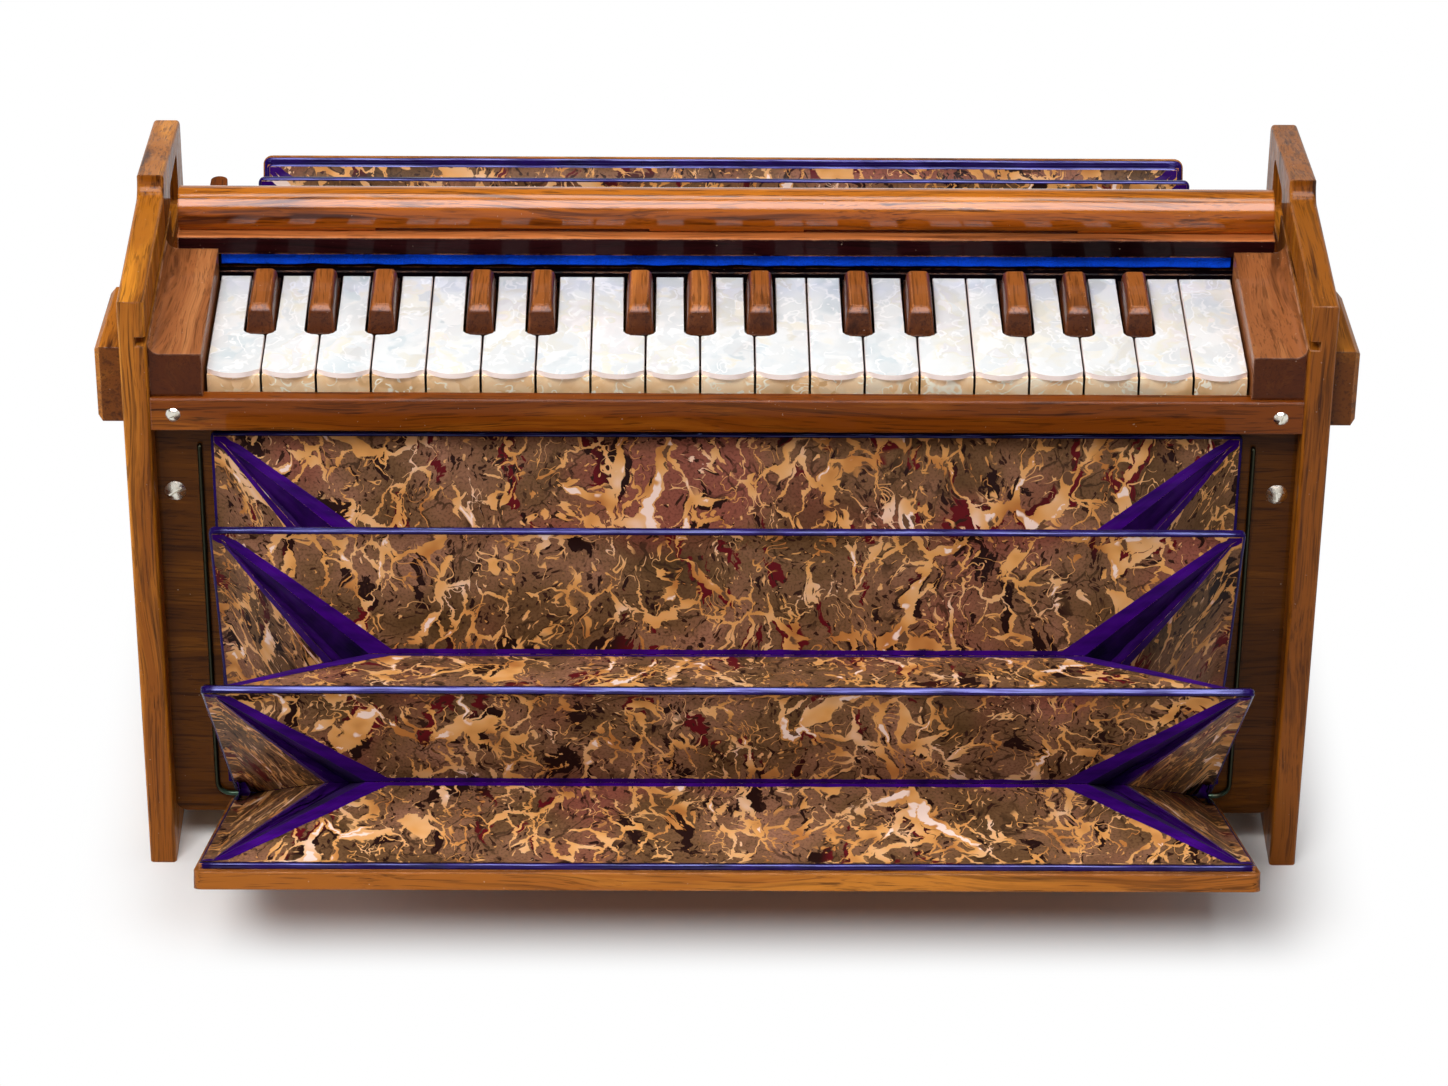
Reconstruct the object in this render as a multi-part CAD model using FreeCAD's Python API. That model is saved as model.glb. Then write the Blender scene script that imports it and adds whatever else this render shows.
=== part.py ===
import FreeCAD
import Part
import math
import os

from FreeCAD import Vector

# A portable harmonium with a double bellows.
# Millimetres, +Z up. X runs along the keyboard, -Y is the player's side, and
# Z = 0 is the floor. While it is built, Y = 0 is the front edge of the side
# boards; every piece is moved at the end so that the origin lies under the
# middle of the whole object with both bellows open.

# Keyboard
WHITE_PITCH = 22.0
WHITE_COUNT = 19
KEY_GAP = 0.8
WHITE_TOP = 233.7
PLATE_THICK = 2.2
PLATE_LENGTH = 81.3
NOSE_FRONT = 7.5
NOSE_SAG = 4.2
APRON_SETBACK = 2.1
APRON_THICK = 1.5
APRON_HEIGHT = 11.9
NOTCH_LENGTH = 49.3
NOTCH_HALF = 6.6
NOTCH_CORNER = 3.0
LEVER_HEIGHT = 14.5
LEVER_FRONT_RAISE = 3.0
LEVER_REAR_HEIGHT = 7.0
LEVER_REAR_OVERHANG = 2.0
SHARP_FRONT_GAP = 4.0
SHARP_REAR_GAP = 7.8
SHARP_RISE = 9.0
SHARP_SLOPE = 4.5
SHARP_BASE_WIDTH = 11.6
SHARP_TOP_WIDTH = 8.4
SHARP_LEVER_WIDTH = 10.6
SHARP_SPREAD_THREE = 2.6
SHARP_SPREAD_TWO = 1.6

# Balance rail, its pins, the pallets, reeds and key springs
PIVOT_BEHIND_COVER_EDGE = 15.0
RAIL_GAP = 0.3
BALANCE_WIDTH = 7.0
PIN_RADIUS = 1.0
PIN_PLAY = 0.75
PIN_SINK = 8.0
PIN_HEAD = 0.8
PALLET_BEHIND_PIVOT = 11.0
PALLET_LENGTH = 24.0
PALLET_WIDTH = 9.0
PALLET_LIFT = 0.3
PORT_WIDTH = 4.0
PORT_LENGTH = 16.0
REED_WIDTH = 8.0
REED_LENGTH = 40.0
REED_THICK = 2.0
TONGUE_WIDTH = 2.6
TONGUE_LENGTH = 30.0
TONGUE_THICK = 0.6
SPRING_WIRE = 0.7
SPRING_FOOT = 9.0
SPRING_RISE = 5.5

# Name ledge, felt and round bar
LEDGE_BEHIND_PLATES = 3.2
LEDGE_DEPTH = 20.0
LEDGE_THICK = 8.0
LEDGE_END_GAP = 4.5
WEB_THICK = 6.0
WEB_HEIGHT = 9.0
FELT_THICK = 2.5
FELT_HEIGHT = 7.0
BAR_RADIUS = 9.2
BAR_PLANED_OFF = 1.7
BAR_BEHIND_LEDGE_EDGE = 11.4
BAR_END_GAP = 5.0
SLOT_HEIGHT = 2.4
SLOT_LENGTH = 113.0
SLOT_MIDDLE = 88.5

# Cover over the pallets
COVER_THICK = 5.0
COVER_SETBACK = 2.0
COVER_CLEARANCE = 4.0
LEVER_STEP_AHEAD = 3.0

# Front rail and cheek blocks
RAIL_FRONT = 1.3
RAIL_THICK = 6.0
RAIL_HEIGHT = 14.8
RAIL_DROP = 8.5
CHEEK_WIDTH = 21.2
CHEEK_FRONT = 3.5
CHEEK_RISE = 10.8
CHEEK_COVE = 5.0

# Panels and floor of the wind chest
PANEL_THICK = 8.0
PANEL_SETBACK = 12.0
PANEL_BOTTOM = 18.5
PANEL_CORNER = 5.0
REAR_SETBACK = 10.0
REAR_PANEL_GAP = 4.0
BOTTOM_THICK = 8.0
PAN_THICK = 8.0
PAN_DROP = 17.0
CLEAT_WIDTH = 10.0
CLEAT_DEPTH = 10.0

# Air holes between the feeders and the chest, with their leather flaps
AIR_HOLE_RADIUS = 7.0
AIR_HOLE_PITCH = 100.0
AIR_HOLE_Z = 110.0
AIR_HOLES = 3
FLAP_WIDTH = 22.0
FLAP_HEIGHT = 26.0
FLAP_THICK = 1.5

# Side boards, each with an ear at the rear that has a hand hole
SIDE_THICK = 11.0
SIDE_ABOVE_LEDGE = 20.0
EDGE_ROUND = 1.6
EAR_AHEAD_OF_LEDGE = 5.0
EAR_COVE = 6.0
EAR_RISE = 8.0
EAR_REAR_DROP = 4.0
EAR_CORNER = 4.0
HOLE_LENGTH = 32.0
HOLE_HEIGHT = 25.0
HOLE_CORNER = 4.0
HOLE_FROM_REAR = 37.5
HOLE_BELOW_EAR = 17.5

# Groove for the lid in each side board
GROOVE_HEIGHT = 4.0
GROOVE_DEPTH = 4.5
GROOVE_FROM_REAR = 44.0

# Grip block on the outside of each side board
GRIP_LENGTH = 50.0
GRIP_HEIGHT = 34.0
GRIP_OUT = 11.0
GRIP_REAR_OUT = 8.5
GRIP_START = 8.0
GRIP_BELOW_TOP = 59.0
GRIP_CHAMFER = 2.0

# Screws
RAIL_SCREW_RADIUS = 3.0
RAIL_SCREW_INSET = 9.0
PANEL_SCREW_RADIUS = 4.4
PANEL_SCREW_INSET = 7.0
PANEL_SCREW_DROP = 34.4
SCREW_HEAD = 1.3
SCREW_SHANK_RADIUS = 1.6
SCREW_SHANK = 12.0
SLOT_WIDTH = 0.9
RAIL_SLOTS_DEG = (20, 75)
PANEL_SLOTS_DEG = (35, 95)

# Bellows. Each is a fan of leather bound card frames about a hinge line, with
# paper covered ribs folded inwards between the frames.
HINGE_Z = 28.0
HINGE_OFF = 1.1
FRAME_SIDE_GAP = 26.0
FRAME_TOP_GAP = 9.4
FIXED_FRAME_SIDE_GAP = 23.0
FIXED_FRAME_TOP_GAP = 5.9
FRAME_STRIP = 4.5
FRAME_THICK = 2.4
FRAME_START = 20.0
FRAME_START_THICK = 0.5
VALLEY_DEPTH = 43.0
VALLEY_SIDE_INSET = 62.0
SIDE_VALLEY_DROP = 6.0
SIDE_VALLEY_INSET = 47.0
GUSSET_DROP = 14.0
GUSSET_INSET = 55.0
REAR_FRAME_SIDE_GAP = 29.0
REAR_FRAME_TOP_GAP = 4.0
REAR_VALLEY_DEPTH = 49.0
REAR_SIDE_VALLEY_DROP = 7.0
REAR_GUSSET_DROP = 15.0
RIB_THICK = 1.0
RIB_INSET = 0.6
RIB_LIFT = 0.58
GUSSET_GAP = 2.7
BOARD_THICK = 7.0
BOARD_START = 6.0
BOARD_OVERHANG = 4.0
BOARD_SIDE_OVERHANG = 2.0
BOARD_CORNER = 4.0
FRONT_PLEATS_DEG = (18.5, 23.5, 23.0)
REAR_PLEATS_DEG = (13.5, 13.5)

# Brass wires at both ends of the front bellows
WIRE_RADIUS = 1.0
WIRE_SIDE_GAP = 17.9
WIRE_BELOW_FRAME = 2.4
WIRE_BEND = 6.0

# Turn buttons on the cover, behind the bar
BUTTON_LENGTH = 18.0
BUTTON_WIDTH = 7.0
BUTTON_THICK = 5.0
BUTTON_POST = 2.0
BUTTON_POST_RADIUS = 3.4
BUTTON_GAP = 0.3
BUTTON_FROM_REAR = 8.0
BUTTON_LEFT_INSET = 16.0
BUTTON_RIGHT_INSET = 25.0
BUTTON_LEFT_DEG = 90
BUTTON_RIGHT_DEG = 180

# How far cutting tools run past what they cut
OVERRUN = 2.0
# Play between wooden pieces that are joined but cut apart
SLACK = 0.1
# How closely an edge must follow an axis to count as running along it
ALIGNED = 0.999

# Worked out from the sizes above: across the case
KEYBOARD_HALF = WHITE_PITCH * WHITE_COUNT / 2
CHEEK_INNER = KEYBOARD_HALF + KEY_GAP
INNER_HALF = CHEEK_INNER + CHEEK_WIDTH
OUTER_HALF = INNER_HALF + SIDE_THICK
FRAME_HALF = INNER_HALF - FRAME_SIDE_GAP
FIXED_FRAME_HALF = INNER_HALF - FIXED_FRAME_SIDE_GAP
REAR_FRAME_HALF = INNER_HALF - REAR_FRAME_SIDE_GAP
VALLEY_HALF = FRAME_HALF - VALLEY_SIDE_INSET
SIDE_VALLEY_HALF = FRAME_HALF - SIDE_VALLEY_INSET
GUSSET_HALF = FRAME_HALF - GUSSET_INSET
WIRE_HALF = INNER_HALF - WIRE_SIDE_GAP
RAIL_SCREW_X = INNER_HALF - RAIL_SCREW_INSET
PANEL_SCREW_X = INNER_HALF - PANEL_SCREW_INSET
BUTTON_LEFT_X = BUTTON_LEFT_INSET - INNER_HALF
BUTTON_RIGHT_X = INNER_HALF - BUTTON_RIGHT_INSET

# From the front edge to the rear
APRON_FRONT = NOSE_FRONT + APRON_SETBACK
PLATE_END = NOSE_FRONT + PLATE_LENGTH
NOTCH_END = PLATE_END - NOTCH_LENGTH
SHARP_START = NOTCH_END + SHARP_FRONT_GAP
SHARP_END = PLATE_END - SHARP_REAR_GAP
LEDGE_FRONT = PLATE_END + LEDGE_BEHIND_PLATES
WEB_FRONT = LEDGE_FRONT + FELT_THICK + WEB_THICK / 2
BAR_MIDDLE_Y = LEDGE_FRONT + BAR_BEHIND_LEDGE_EDGE
COVER_START = LEDGE_FRONT + COVER_SETBACK
LEVER_STEP = COVER_START - LEVER_STEP_AHEAD
PIVOT_Y = COVER_START + PIVOT_BEHIND_COVER_EDGE
PALLET_START = PIVOT_Y + PALLET_BEHIND_PIVOT
LEVER_END = PALLET_START + PALLET_LENGTH + LEVER_REAR_OVERHANG
REAR_PANEL_START = LEVER_END + REAR_PANEL_GAP
REAR_FACE = REAR_PANEL_START + PANEL_THICK
SIDE_DEPTH = REAR_FACE + REAR_SETBACK
FRONT_PANEL_END = PANEL_SETBACK + PANEL_THICK
FRONT_HINGE_Y = PANEL_SETBACK - HINGE_OFF
REAR_HINGE_Y = REAR_FACE + HINGE_OFF
EAR_START = LEDGE_FRONT - EAR_AHEAD_OF_LEDGE
HOLE_MIDDLE_Y = SIDE_DEPTH - HOLE_FROM_REAR
GROOVE_END = SIDE_DEPTH - GROOVE_FROM_REAR
BUTTON_Y = REAR_FACE - BUTTON_FROM_REAR

# From the floor up
PLATE_BOTTOM = WHITE_TOP - PLATE_THICK
APRON_BOTTOM = PLATE_BOTTOM - APRON_HEIGHT
LEVER_BOTTOM = PLATE_BOTTOM - LEVER_HEIGHT
LEVER_FRONT_BOTTOM = LEVER_BOTTOM + LEVER_FRONT_RAISE
LEVER_REAR_TOP = LEVER_BOTTOM + LEVER_REAR_HEIGHT
SHARP_TOP = WHITE_TOP + SHARP_RISE
CHEEK_TOP = WHITE_TOP + CHEEK_RISE
RAIL_TOP = WHITE_TOP - RAIL_DROP
RAIL_BOTTOM = RAIL_TOP - RAIL_HEIGHT
PAN_TOP = LEVER_BOTTOM - PAN_DROP
COVER_BOTTOM = LEVER_REAR_TOP + COVER_CLEARANCE
COVER_TOP = COVER_BOTTOM + COVER_THICK
LEDGE_BOTTOM = COVER_TOP + WEB_HEIGHT
LEDGE_TOP = LEDGE_BOTTOM + LEDGE_THICK
FELT_BOTTOM = LEDGE_BOTTOM - FELT_HEIGHT
BAR_MIDDLE_Z = LEDGE_TOP + BAR_RADIUS - BAR_PLANED_OFF
SIDE_TOP = LEDGE_TOP + SIDE_ABOVE_LEDGE
EAR_FRONT_TOP = SIDE_TOP + EAR_RISE
EAR_REAR_TOP = SIDE_TOP - EAR_REAR_DROP
HOLE_MIDDLE_Z = EAR_REAR_TOP - HOLE_BELOW_EAR
GRIP_BOTTOM = SIDE_TOP - GRIP_BELOW_TOP
PANEL_SCREW_Z = RAIL_BOTTOM - PANEL_SCREW_DROP
BUTTON_Z = COVER_TOP + BUTTON_POST + BUTTON_GAP

# Distances from the hinge lines of the bellows
FRAME_REACH = RAIL_BOTTOM - HINGE_Z - FRAME_TOP_GAP
FIXED_FRAME_REACH = RAIL_BOTTOM - HINGE_Z - FIXED_FRAME_TOP_GAP
VALLEY_REACH = FRAME_REACH - VALLEY_DEPTH
SIDE_VALLEY_REACH = VALLEY_REACH - SIDE_VALLEY_DROP
GUSSET_REACH = VALLEY_REACH - GUSSET_DROP
REAR_FRAME_REACH = COVER_BOTTOM - HINGE_Z - REAR_FRAME_TOP_GAP
REAR_VALLEY_REACH = REAR_FRAME_REACH - REAR_VALLEY_DEPTH
REAR_SIDE_VALLEY_REACH = REAR_VALLEY_REACH - REAR_SIDE_VALLEY_DROP
REAR_GUSSET_REACH = REAR_VALLEY_REACH - REAR_GUSSET_DROP
WIRE_TOP = HINGE_Z + FRAME_REACH - WIRE_BELOW_FRAME
BOARD_INNER = FRAME_THICK / 2 + SLACK
BOARD_OUTER = BOARD_INNER + BOARD_THICK


def fan_reach_y(reach, angle_deg, thickness):
    """How far from the hinge line a board at that angle comes, level with the floor."""
    angle = math.radians(angle_deg)
    return reach * math.sin(angle) + thickness * math.cos(angle)


FRONT_REACH_Y = FRONT_HINGE_Y - fan_reach_y(
    FRAME_REACH + BOARD_OVERHANG, sum(FRONT_PLEATS_DEG), BOARD_OUTER)
REAR_REACH_Y = REAR_HINGE_Y + fan_reach_y(
    REAR_FRAME_REACH + BOARD_OVERHANG, sum(REAR_PLEATS_DEG), BOARD_OUTER)
ORIGIN_Y = (FRONT_REACH_Y + REAR_REACH_Y) / 2


def box(x0, x1, y0, y1, z0, z1):
    """A block between two opposite corners."""
    return Part.makeBox(x1 - x0, y1 - y0, z1 - z0, Vector(x0, y0, z0))


def cylinder(radius, length, start, direction):
    return Part.makeCylinder(radius, length, Vector(*start), Vector(*direction))


def prism(points, direction):
    """A closed flat outline, given as points, drawn out along a direction."""
    wire = Part.makePolygon([Vector(*p) for p in points] + [Vector(*points[0])])
    return Part.Face(wire).extrude(Vector(*direction))


def round_edges(solid, radius, wanted):
    """Rounds the edges for which wanted(edge) is true."""
    edges = [edge for edge in solid.Edges if wanted(edge)]
    return solid.makeFillet(radius, edges) if edges else solid


def runs_along(edge, axis):
    """True for a straight edge along X, Y or Z, given as 0, 1 or 2."""
    if not isinstance(edge.Curve, Part.Line):
        return False
    direction = edge.Curve.Direction
    return abs(direction[axis]) > ALIGNED


def quarter_round_mid(radius):
    """How far the middle of a quarter round lies from either of its tangents."""
    return radius * (1 - math.cos(math.pi / 4))


def mirror_x(solid):
    return solid.mirror(Vector(0, 0, 0), Vector(1, 0, 0))


def both_sides(solid):
    return [solid, mirror_x(solid)]


def side_outline():
    """Profile of a side board in the Y, Z plane, with its cove and ear."""
    cove_end = EAR_START + EAR_COVE
    start = Vector(0, 0, 0)
    front_top = Vector(0, 0, SIDE_TOP)
    cove_foot = Vector(0, EAR_START, SIDE_TOP)
    turn = quarter_round_mid(EAR_COVE)
    cove_mid = Vector(0, cove_end - turn, SIDE_TOP + turn)
    cove_top = Vector(0, cove_end, SIDE_TOP + EAR_COVE)
    ear_front = Vector(0, cove_end, EAR_FRONT_TOP)
    ear_rear = Vector(0, SIDE_DEPTH, EAR_REAR_TOP)
    foot_rear = Vector(0, SIDE_DEPTH, 0)
    edges = [
        Part.makeLine(start, front_top),
        Part.makeLine(front_top, cove_foot),
        Part.Arc(cove_foot, cove_mid, cove_top).toShape(),
        Part.makeLine(cove_top, ear_front),
        Part.makeLine(ear_front, ear_rear),
        Part.makeLine(ear_rear, foot_rear),
        Part.makeLine(foot_rear, start),
    ]
    return Part.Face(Part.Wire(edges))


def hand_hole(x0, length):
    """The rounded block that the hand hole takes out of an ear."""
    y0 = HOLE_MIDDLE_Y - HOLE_LENGTH / 2
    z0 = HOLE_MIDDLE_Z - HOLE_HEIGHT / 2
    block = box(x0, x0 + length, y0, y0 + HOLE_LENGTH, z0, z0 + HOLE_HEIGHT)
    return round_edges(block, HOLE_CORNER, lambda edge: runs_along(edge, 0))


def side_board():
    """The left side board, cut from one plank."""
    board = side_outline().extrude(Vector(SIDE_THICK, 0, 0))

    def ear_corner(edge):
        middle = edge.CenterOfMass
        return runs_along(edge, 0) and middle.y > SIDE_DEPTH - SLACK and middle.z > SIDE_TOP / 2

    board = round_edges(board, EAR_CORNER, ear_corner)
    board.translate(Vector(-OUTER_HALF, 0, 0))

    def long_edge(edge):
        upright = runs_along(edge, 2)
        on_top = edge.CenterOfMass.z > SIDE_TOP - SLACK and not runs_along(edge, 0)
        return upright or on_top

    board = round_edges(board, EDGE_ROUND, long_edge)
    board = board.cut(hand_hole(-OUTER_HALF - OVERRUN, SIDE_THICK + 2 * OVERRUN))
    groove = box(-INNER_HALF - GROOVE_DEPTH, -INNER_HALF + OVERRUN,
                 -OVERRUN, GROOVE_END, LEDGE_TOP, LEDGE_TOP + GROOVE_HEIGHT)
    return board.cut(groove)


def grip_block():
    """Carrying grip on the left side board: thinner to the rear, edges cut off at a slant."""
    x = -OUTER_HALF
    y0 = GRIP_START
    y1 = GRIP_START + GRIP_LENGTH
    z0 = GRIP_BOTTOM
    plan = [(x, y0, z0), (x - GRIP_OUT, y0, z0), (x - GRIP_REAR_OUT, y1, z0), (x, y1, z0)]
    block = prism(plan, (0, 0, GRIP_HEIGHT))
    edges = [edge for edge in block.Edges
             if edge.CenterOfMass.x < x - GRIP_REAR_OUT + SLACK]
    return block.makeChamfer(GRIP_CHAMFER, edges)


def cleats():
    """Two square sticks in the left corners of the wind chest, which hold the panels."""
    x0 = -INNER_HALF
    z0 = PANEL_BOTTOM + BOTTOM_THICK
    z1 = PAN_TOP - PAN_THICK
    front = box(x0, x0 + CLEAT_WIDTH, FRONT_PANEL_END, FRONT_PANEL_END + CLEAT_DEPTH, z0, z1)
    rear = box(x0, x0 + CLEAT_WIDTH, REAR_PANEL_START - CLEAT_DEPTH, REAR_PANEL_START, z0, z1)
    return [front, rear]


def side_board_left():
    return [side_board(), grip_block()] + [cleat.cut(screw_bores()) for cleat in cleats()]


def side_board_right():
    return [mirror_x(solid) for solid in side_board_left()]


def air_holes(y0, y1):
    holes = []
    for number in range(AIR_HOLES):
        x = (number - (AIR_HOLES - 1) / 2) * AIR_HOLE_PITCH
        holes.append(cylinder(AIR_HOLE_RADIUS, y1 - y0, (x, y0, AIR_HOLE_Z), (0, 1, 0)))
    return holes


def panel(y0, top):
    """A panel of the wind chest between the side boards, lower corners rounded."""
    board = box(-INNER_HALF, INNER_HALF, y0, y0 + PANEL_THICK, PANEL_BOTTOM, top)

    def lower_corner(edge):
        return runs_along(edge, 1) and edge.CenterOfMass.z < PANEL_BOTTOM + SLACK

    board = round_edges(board, PANEL_CORNER, lower_corner)
    return board.cut(air_holes(y0 - OVERRUN, y0 + PANEL_THICK + OVERRUN))


def front_panel():
    return [panel(PANEL_SETBACK, RAIL_BOTTOM).cut(screw_bores() + wire_bores())]


def rear_panel():
    return [panel(REAR_PANEL_START, COVER_BOTTOM).cut(screw_bores())]


def bottom_board():
    return [box(-INNER_HALF, INNER_HALF, FRONT_PANEL_END, REAR_PANEL_START,
                PANEL_BOTTOM, PANEL_BOTTOM + BOTTOM_THICK)]


def flap_valves():
    """Leather flaps inside each panel, one over each air hole."""
    flaps = []
    for number in range(AIR_HOLES):
        x = (number - (AIR_HOLES - 1) / 2) * AIR_HOLE_PITCH
        x0 = x - FLAP_WIDTH / 2
        z0 = AIR_HOLE_Z - FLAP_HEIGHT / 2
        flaps.append(box(x0, x0 + FLAP_WIDTH, FRONT_PANEL_END, FRONT_PANEL_END + FLAP_THICK,
                         z0, z0 + FLAP_HEIGHT))
        flaps.append(box(x0, x0 + FLAP_WIDTH, REAR_PANEL_START - FLAP_THICK, REAR_PANEL_START,
                         z0, z0 + FLAP_HEIGHT))
    return flaps


def top_cover():
    """The cover over the pallets, level with the rear panel's outside."""
    return [box(-INNER_HALF, INNER_HALF, COVER_START, REAR_FACE, COVER_BOTTOM, COVER_TOP)
            .cut(screw_bores())]


def front_rail():
    rail = box(-INNER_HALF, INNER_HALF, RAIL_FRONT, RAIL_FRONT + RAIL_THICK, RAIL_BOTTOM, RAIL_TOP)

    def front_edge(edge):
        return runs_along(edge, 0) and edge.CenterOfMass.y < RAIL_FRONT + SLACK

    return [round_edges(rail, EDGE_ROUND / 2, front_edge).cut(screw_bores())]


def cheek_block():
    """Left cheek block: flat on top, with a cove up to the side board, notched over the rail."""
    outer = -INNER_HALF
    inner = -CHEEK_INNER
    foot = outer + CHEEK_COVE
    mid_drop = quarter_round_mid(CHEEK_COVE)
    points = {
        "low_outer": Vector(outer, CHEEK_FRONT, RAIL_BOTTOM),
        "low_inner": Vector(inner, CHEEK_FRONT, RAIL_BOTTOM),
        "top_inner": Vector(inner, CHEEK_FRONT, CHEEK_TOP),
        "cove_foot": Vector(foot, CHEEK_FRONT, CHEEK_TOP),
        "cove_mid": Vector(outer + mid_drop, CHEEK_FRONT, CHEEK_TOP + mid_drop),
        "cove_top": Vector(outer, CHEEK_FRONT, CHEEK_TOP + CHEEK_COVE),
    }
    edges = [
        Part.makeLine(points["low_outer"], points["low_inner"]),
        Part.makeLine(points["low_inner"], points["top_inner"]),
        Part.makeLine(points["top_inner"], points["cove_foot"]),
        Part.Arc(points["cove_foot"], points["cove_mid"], points["cove_top"]).toShape(),
        Part.makeLine(points["cove_top"], points["low_outer"]),
    ]
    block = Part.Face(Part.Wire(edges)).extrude(Vector(0, LEDGE_FRONT - CHEEK_FRONT, 0))
    rail_notch = box(outer - OVERRUN, inner + OVERRUN, CHEEK_FRONT - OVERRUN,
                     RAIL_FRONT + RAIL_THICK, RAIL_BOTTOM - OVERRUN, RAIL_TOP)
    return block.cut([rail_notch] + screw_bores())


def cheek_blocks():
    return both_sides(cheek_block())


def name_ledge():
    """Ledge over the rear of the keys, on a web that stands on the cover."""
    half = INNER_HALF - LEDGE_END_GAP
    cap = box(-half, half, LEDGE_FRONT, LEDGE_FRONT + LEDGE_DEPTH, LEDGE_BOTTOM, LEDGE_TOP)
    web = box(-half, half, WEB_FRONT, WEB_FRONT + WEB_THICK, COVER_TOP, LEDGE_BOTTOM)

    def front_top(edge):
        middle = edge.CenterOfMass
        return runs_along(edge, 0) and middle.y < LEDGE_FRONT + SLACK and middle.z > LEDGE_TOP - SLACK

    return [round_edges(cap, EDGE_ROUND / 2, front_top).fuse(web).removeSplitter()]


def name_felt():
    return [box(-KEYBOARD_HALF, KEYBOARD_HALF, WEB_FRONT - FELT_THICK, WEB_FRONT,
                FELT_BOTTOM, LEDGE_BOTTOM)]


def round_bar():
    """Round bar along the top, flat underneath, with two sound slots under it."""
    half = INNER_HALF - BAR_END_GAP
    bar = cylinder(BAR_RADIUS, 2 * half, (-half, BAR_MIDDLE_Y, BAR_MIDDLE_Z), (1, 0, 0))
    cut_below = box(-half - OVERRUN, half + OVERRUN, BAR_MIDDLE_Y - 2 * BAR_RADIUS,
                    BAR_MIDDLE_Y + 2 * BAR_RADIUS, LEDGE_TOP - 2 * BAR_RADIUS, LEDGE_TOP)
    slots = []
    for side in (-1, 1):
        middle = side * SLOT_MIDDLE
        slots.append(box(middle - SLOT_LENGTH / 2, middle + SLOT_LENGTH / 2,
                         BAR_MIDDLE_Y - 2 * BAR_RADIUS, BAR_MIDDLE_Y + 2 * BAR_RADIUS,
                         LEDGE_TOP - OVERRUN, LEDGE_TOP + SLOT_HEIGHT))
    return [bar.cut([cut_below] + slots)]


def reed_pan():
    """Board under the keys, with a port under each pallet."""
    pan = box(-INNER_HALF, INNER_HALF, FRONT_PANEL_END, REAR_PANEL_START,
              PAN_TOP - PAN_THICK, PAN_TOP)
    ports = []
    middle = PALLET_START + PALLET_LENGTH / 2
    for key in keyboard():
        x = key["lever_x"]
        ports.append(box(x - PORT_WIDTH / 2, x + PORT_WIDTH / 2, middle - PORT_LENGTH / 2,
                         middle + PORT_LENGTH / 2, PAN_TOP - PAN_THICK - OVERRUN, PAN_TOP + OVERRUN))
    return [pan.cut(ports)]


def reeds():
    """Under the pan, a brass plate for each key with its tongue riveted over a slot."""
    solids = []
    y1 = PALLET_START + PALLET_LENGTH
    y0 = y1 - REED_LENGTH
    z1 = PAN_TOP - PAN_THICK
    for key in keyboard():
        x = key["lever_x"]
        plate = box(x - REED_WIDTH / 2, x + REED_WIDTH / 2, y0, y1, z1 - REED_THICK, z1)
        slot_end = y1 - (REED_LENGTH - TONGUE_LENGTH) / 2
        slot = box(x - TONGUE_WIDTH / 2 - SLACK, x + TONGUE_WIDTH / 2 + SLACK,
                   slot_end - TONGUE_LENGTH + REED_WIDTH, slot_end, z1 - REED_THICK - OVERRUN, z1 + OVERRUN)
        tongue = box(x - TONGUE_WIDTH / 2, x + TONGUE_WIDTH / 2, slot_end - TONGUE_LENGTH, slot_end - SLACK,
                     z1 - REED_THICK - TONGUE_THICK, z1 - REED_THICK)
        solids += [plate.cut(slot), tongue]
    return solids


def balance_rail():
    """Rail that all keys rock on, standing on the pan."""
    x = INNER_HALF
    y0 = PIVOT_Y - BALANCE_WIDTH / 2
    rail = box(-x, x, y0, y0 + BALANCE_WIDTH, PAN_TOP, LEVER_BOTTOM - RAIL_GAP)
    bores = [cylinder(PIN_RADIUS, PIN_SINK, (key["lever_x"], PIVOT_Y, LEVER_BOTTOM - RAIL_GAP - PIN_SINK),
                      (0, 0, 1)) for key in keyboard()]
    return [rail.cut(bores)]


def key_wires():
    """A balance pin and a light wire spring for each key."""
    solids = []
    for key in keyboard():
        x = key["lever_x"]
        z0 = LEVER_BOTTOM - RAIL_GAP - PIN_SINK
        solids.append(cylinder(PIN_RADIUS, LEVER_REAR_TOP + PIN_HEAD - z0, (x, PIVOT_Y, z0), (0, 0, 1)))
        y1 = PIVOT_Y + PIN_PLAY + PIN_RADIUS + SPRING_RISE + SPRING_FOOT
        y0 = y1 - SPRING_FOOT
        z_top = COVER_BOTTOM - SPRING_WIRE / 2
        z_low = LEVER_REAR_TOP + RAIL_GAP + SPRING_WIRE / 2
        path = Part.makePolygon([Vector(x, y1, z_top), Vector(x, y0, z_top),
                                 Vector(x, y0 - SPRING_RISE, z_low)])
        ring = Part.Wire(Part.makeCircle(SPRING_WIRE / 2, Vector(x, y1, z_top), Vector(0, 1, 0)))
        solids.append(path.makePipeShell([ring], True, False, 1))
    return solids


def sharp_places():
    """The sharp keys: which white key boundary each lies over, and its shift to the side."""
    three = (-SHARP_SPREAD_THREE, 0, SHARP_SPREAD_THREE)
    two = (-SHARP_SPREAD_TWO, SHARP_SPREAD_TWO)
    places = {}
    boundary = 1
    while boundary < WHITE_COUNT:
        group = three if len(places) % 5 == 0 else two
        for shift in group:
            if boundary < WHITE_COUNT:
                places[boundary] = boundary * WHITE_PITCH - KEYBOARD_HALF + shift
            boundary += 1
        boundary += 1
    return places


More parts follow.
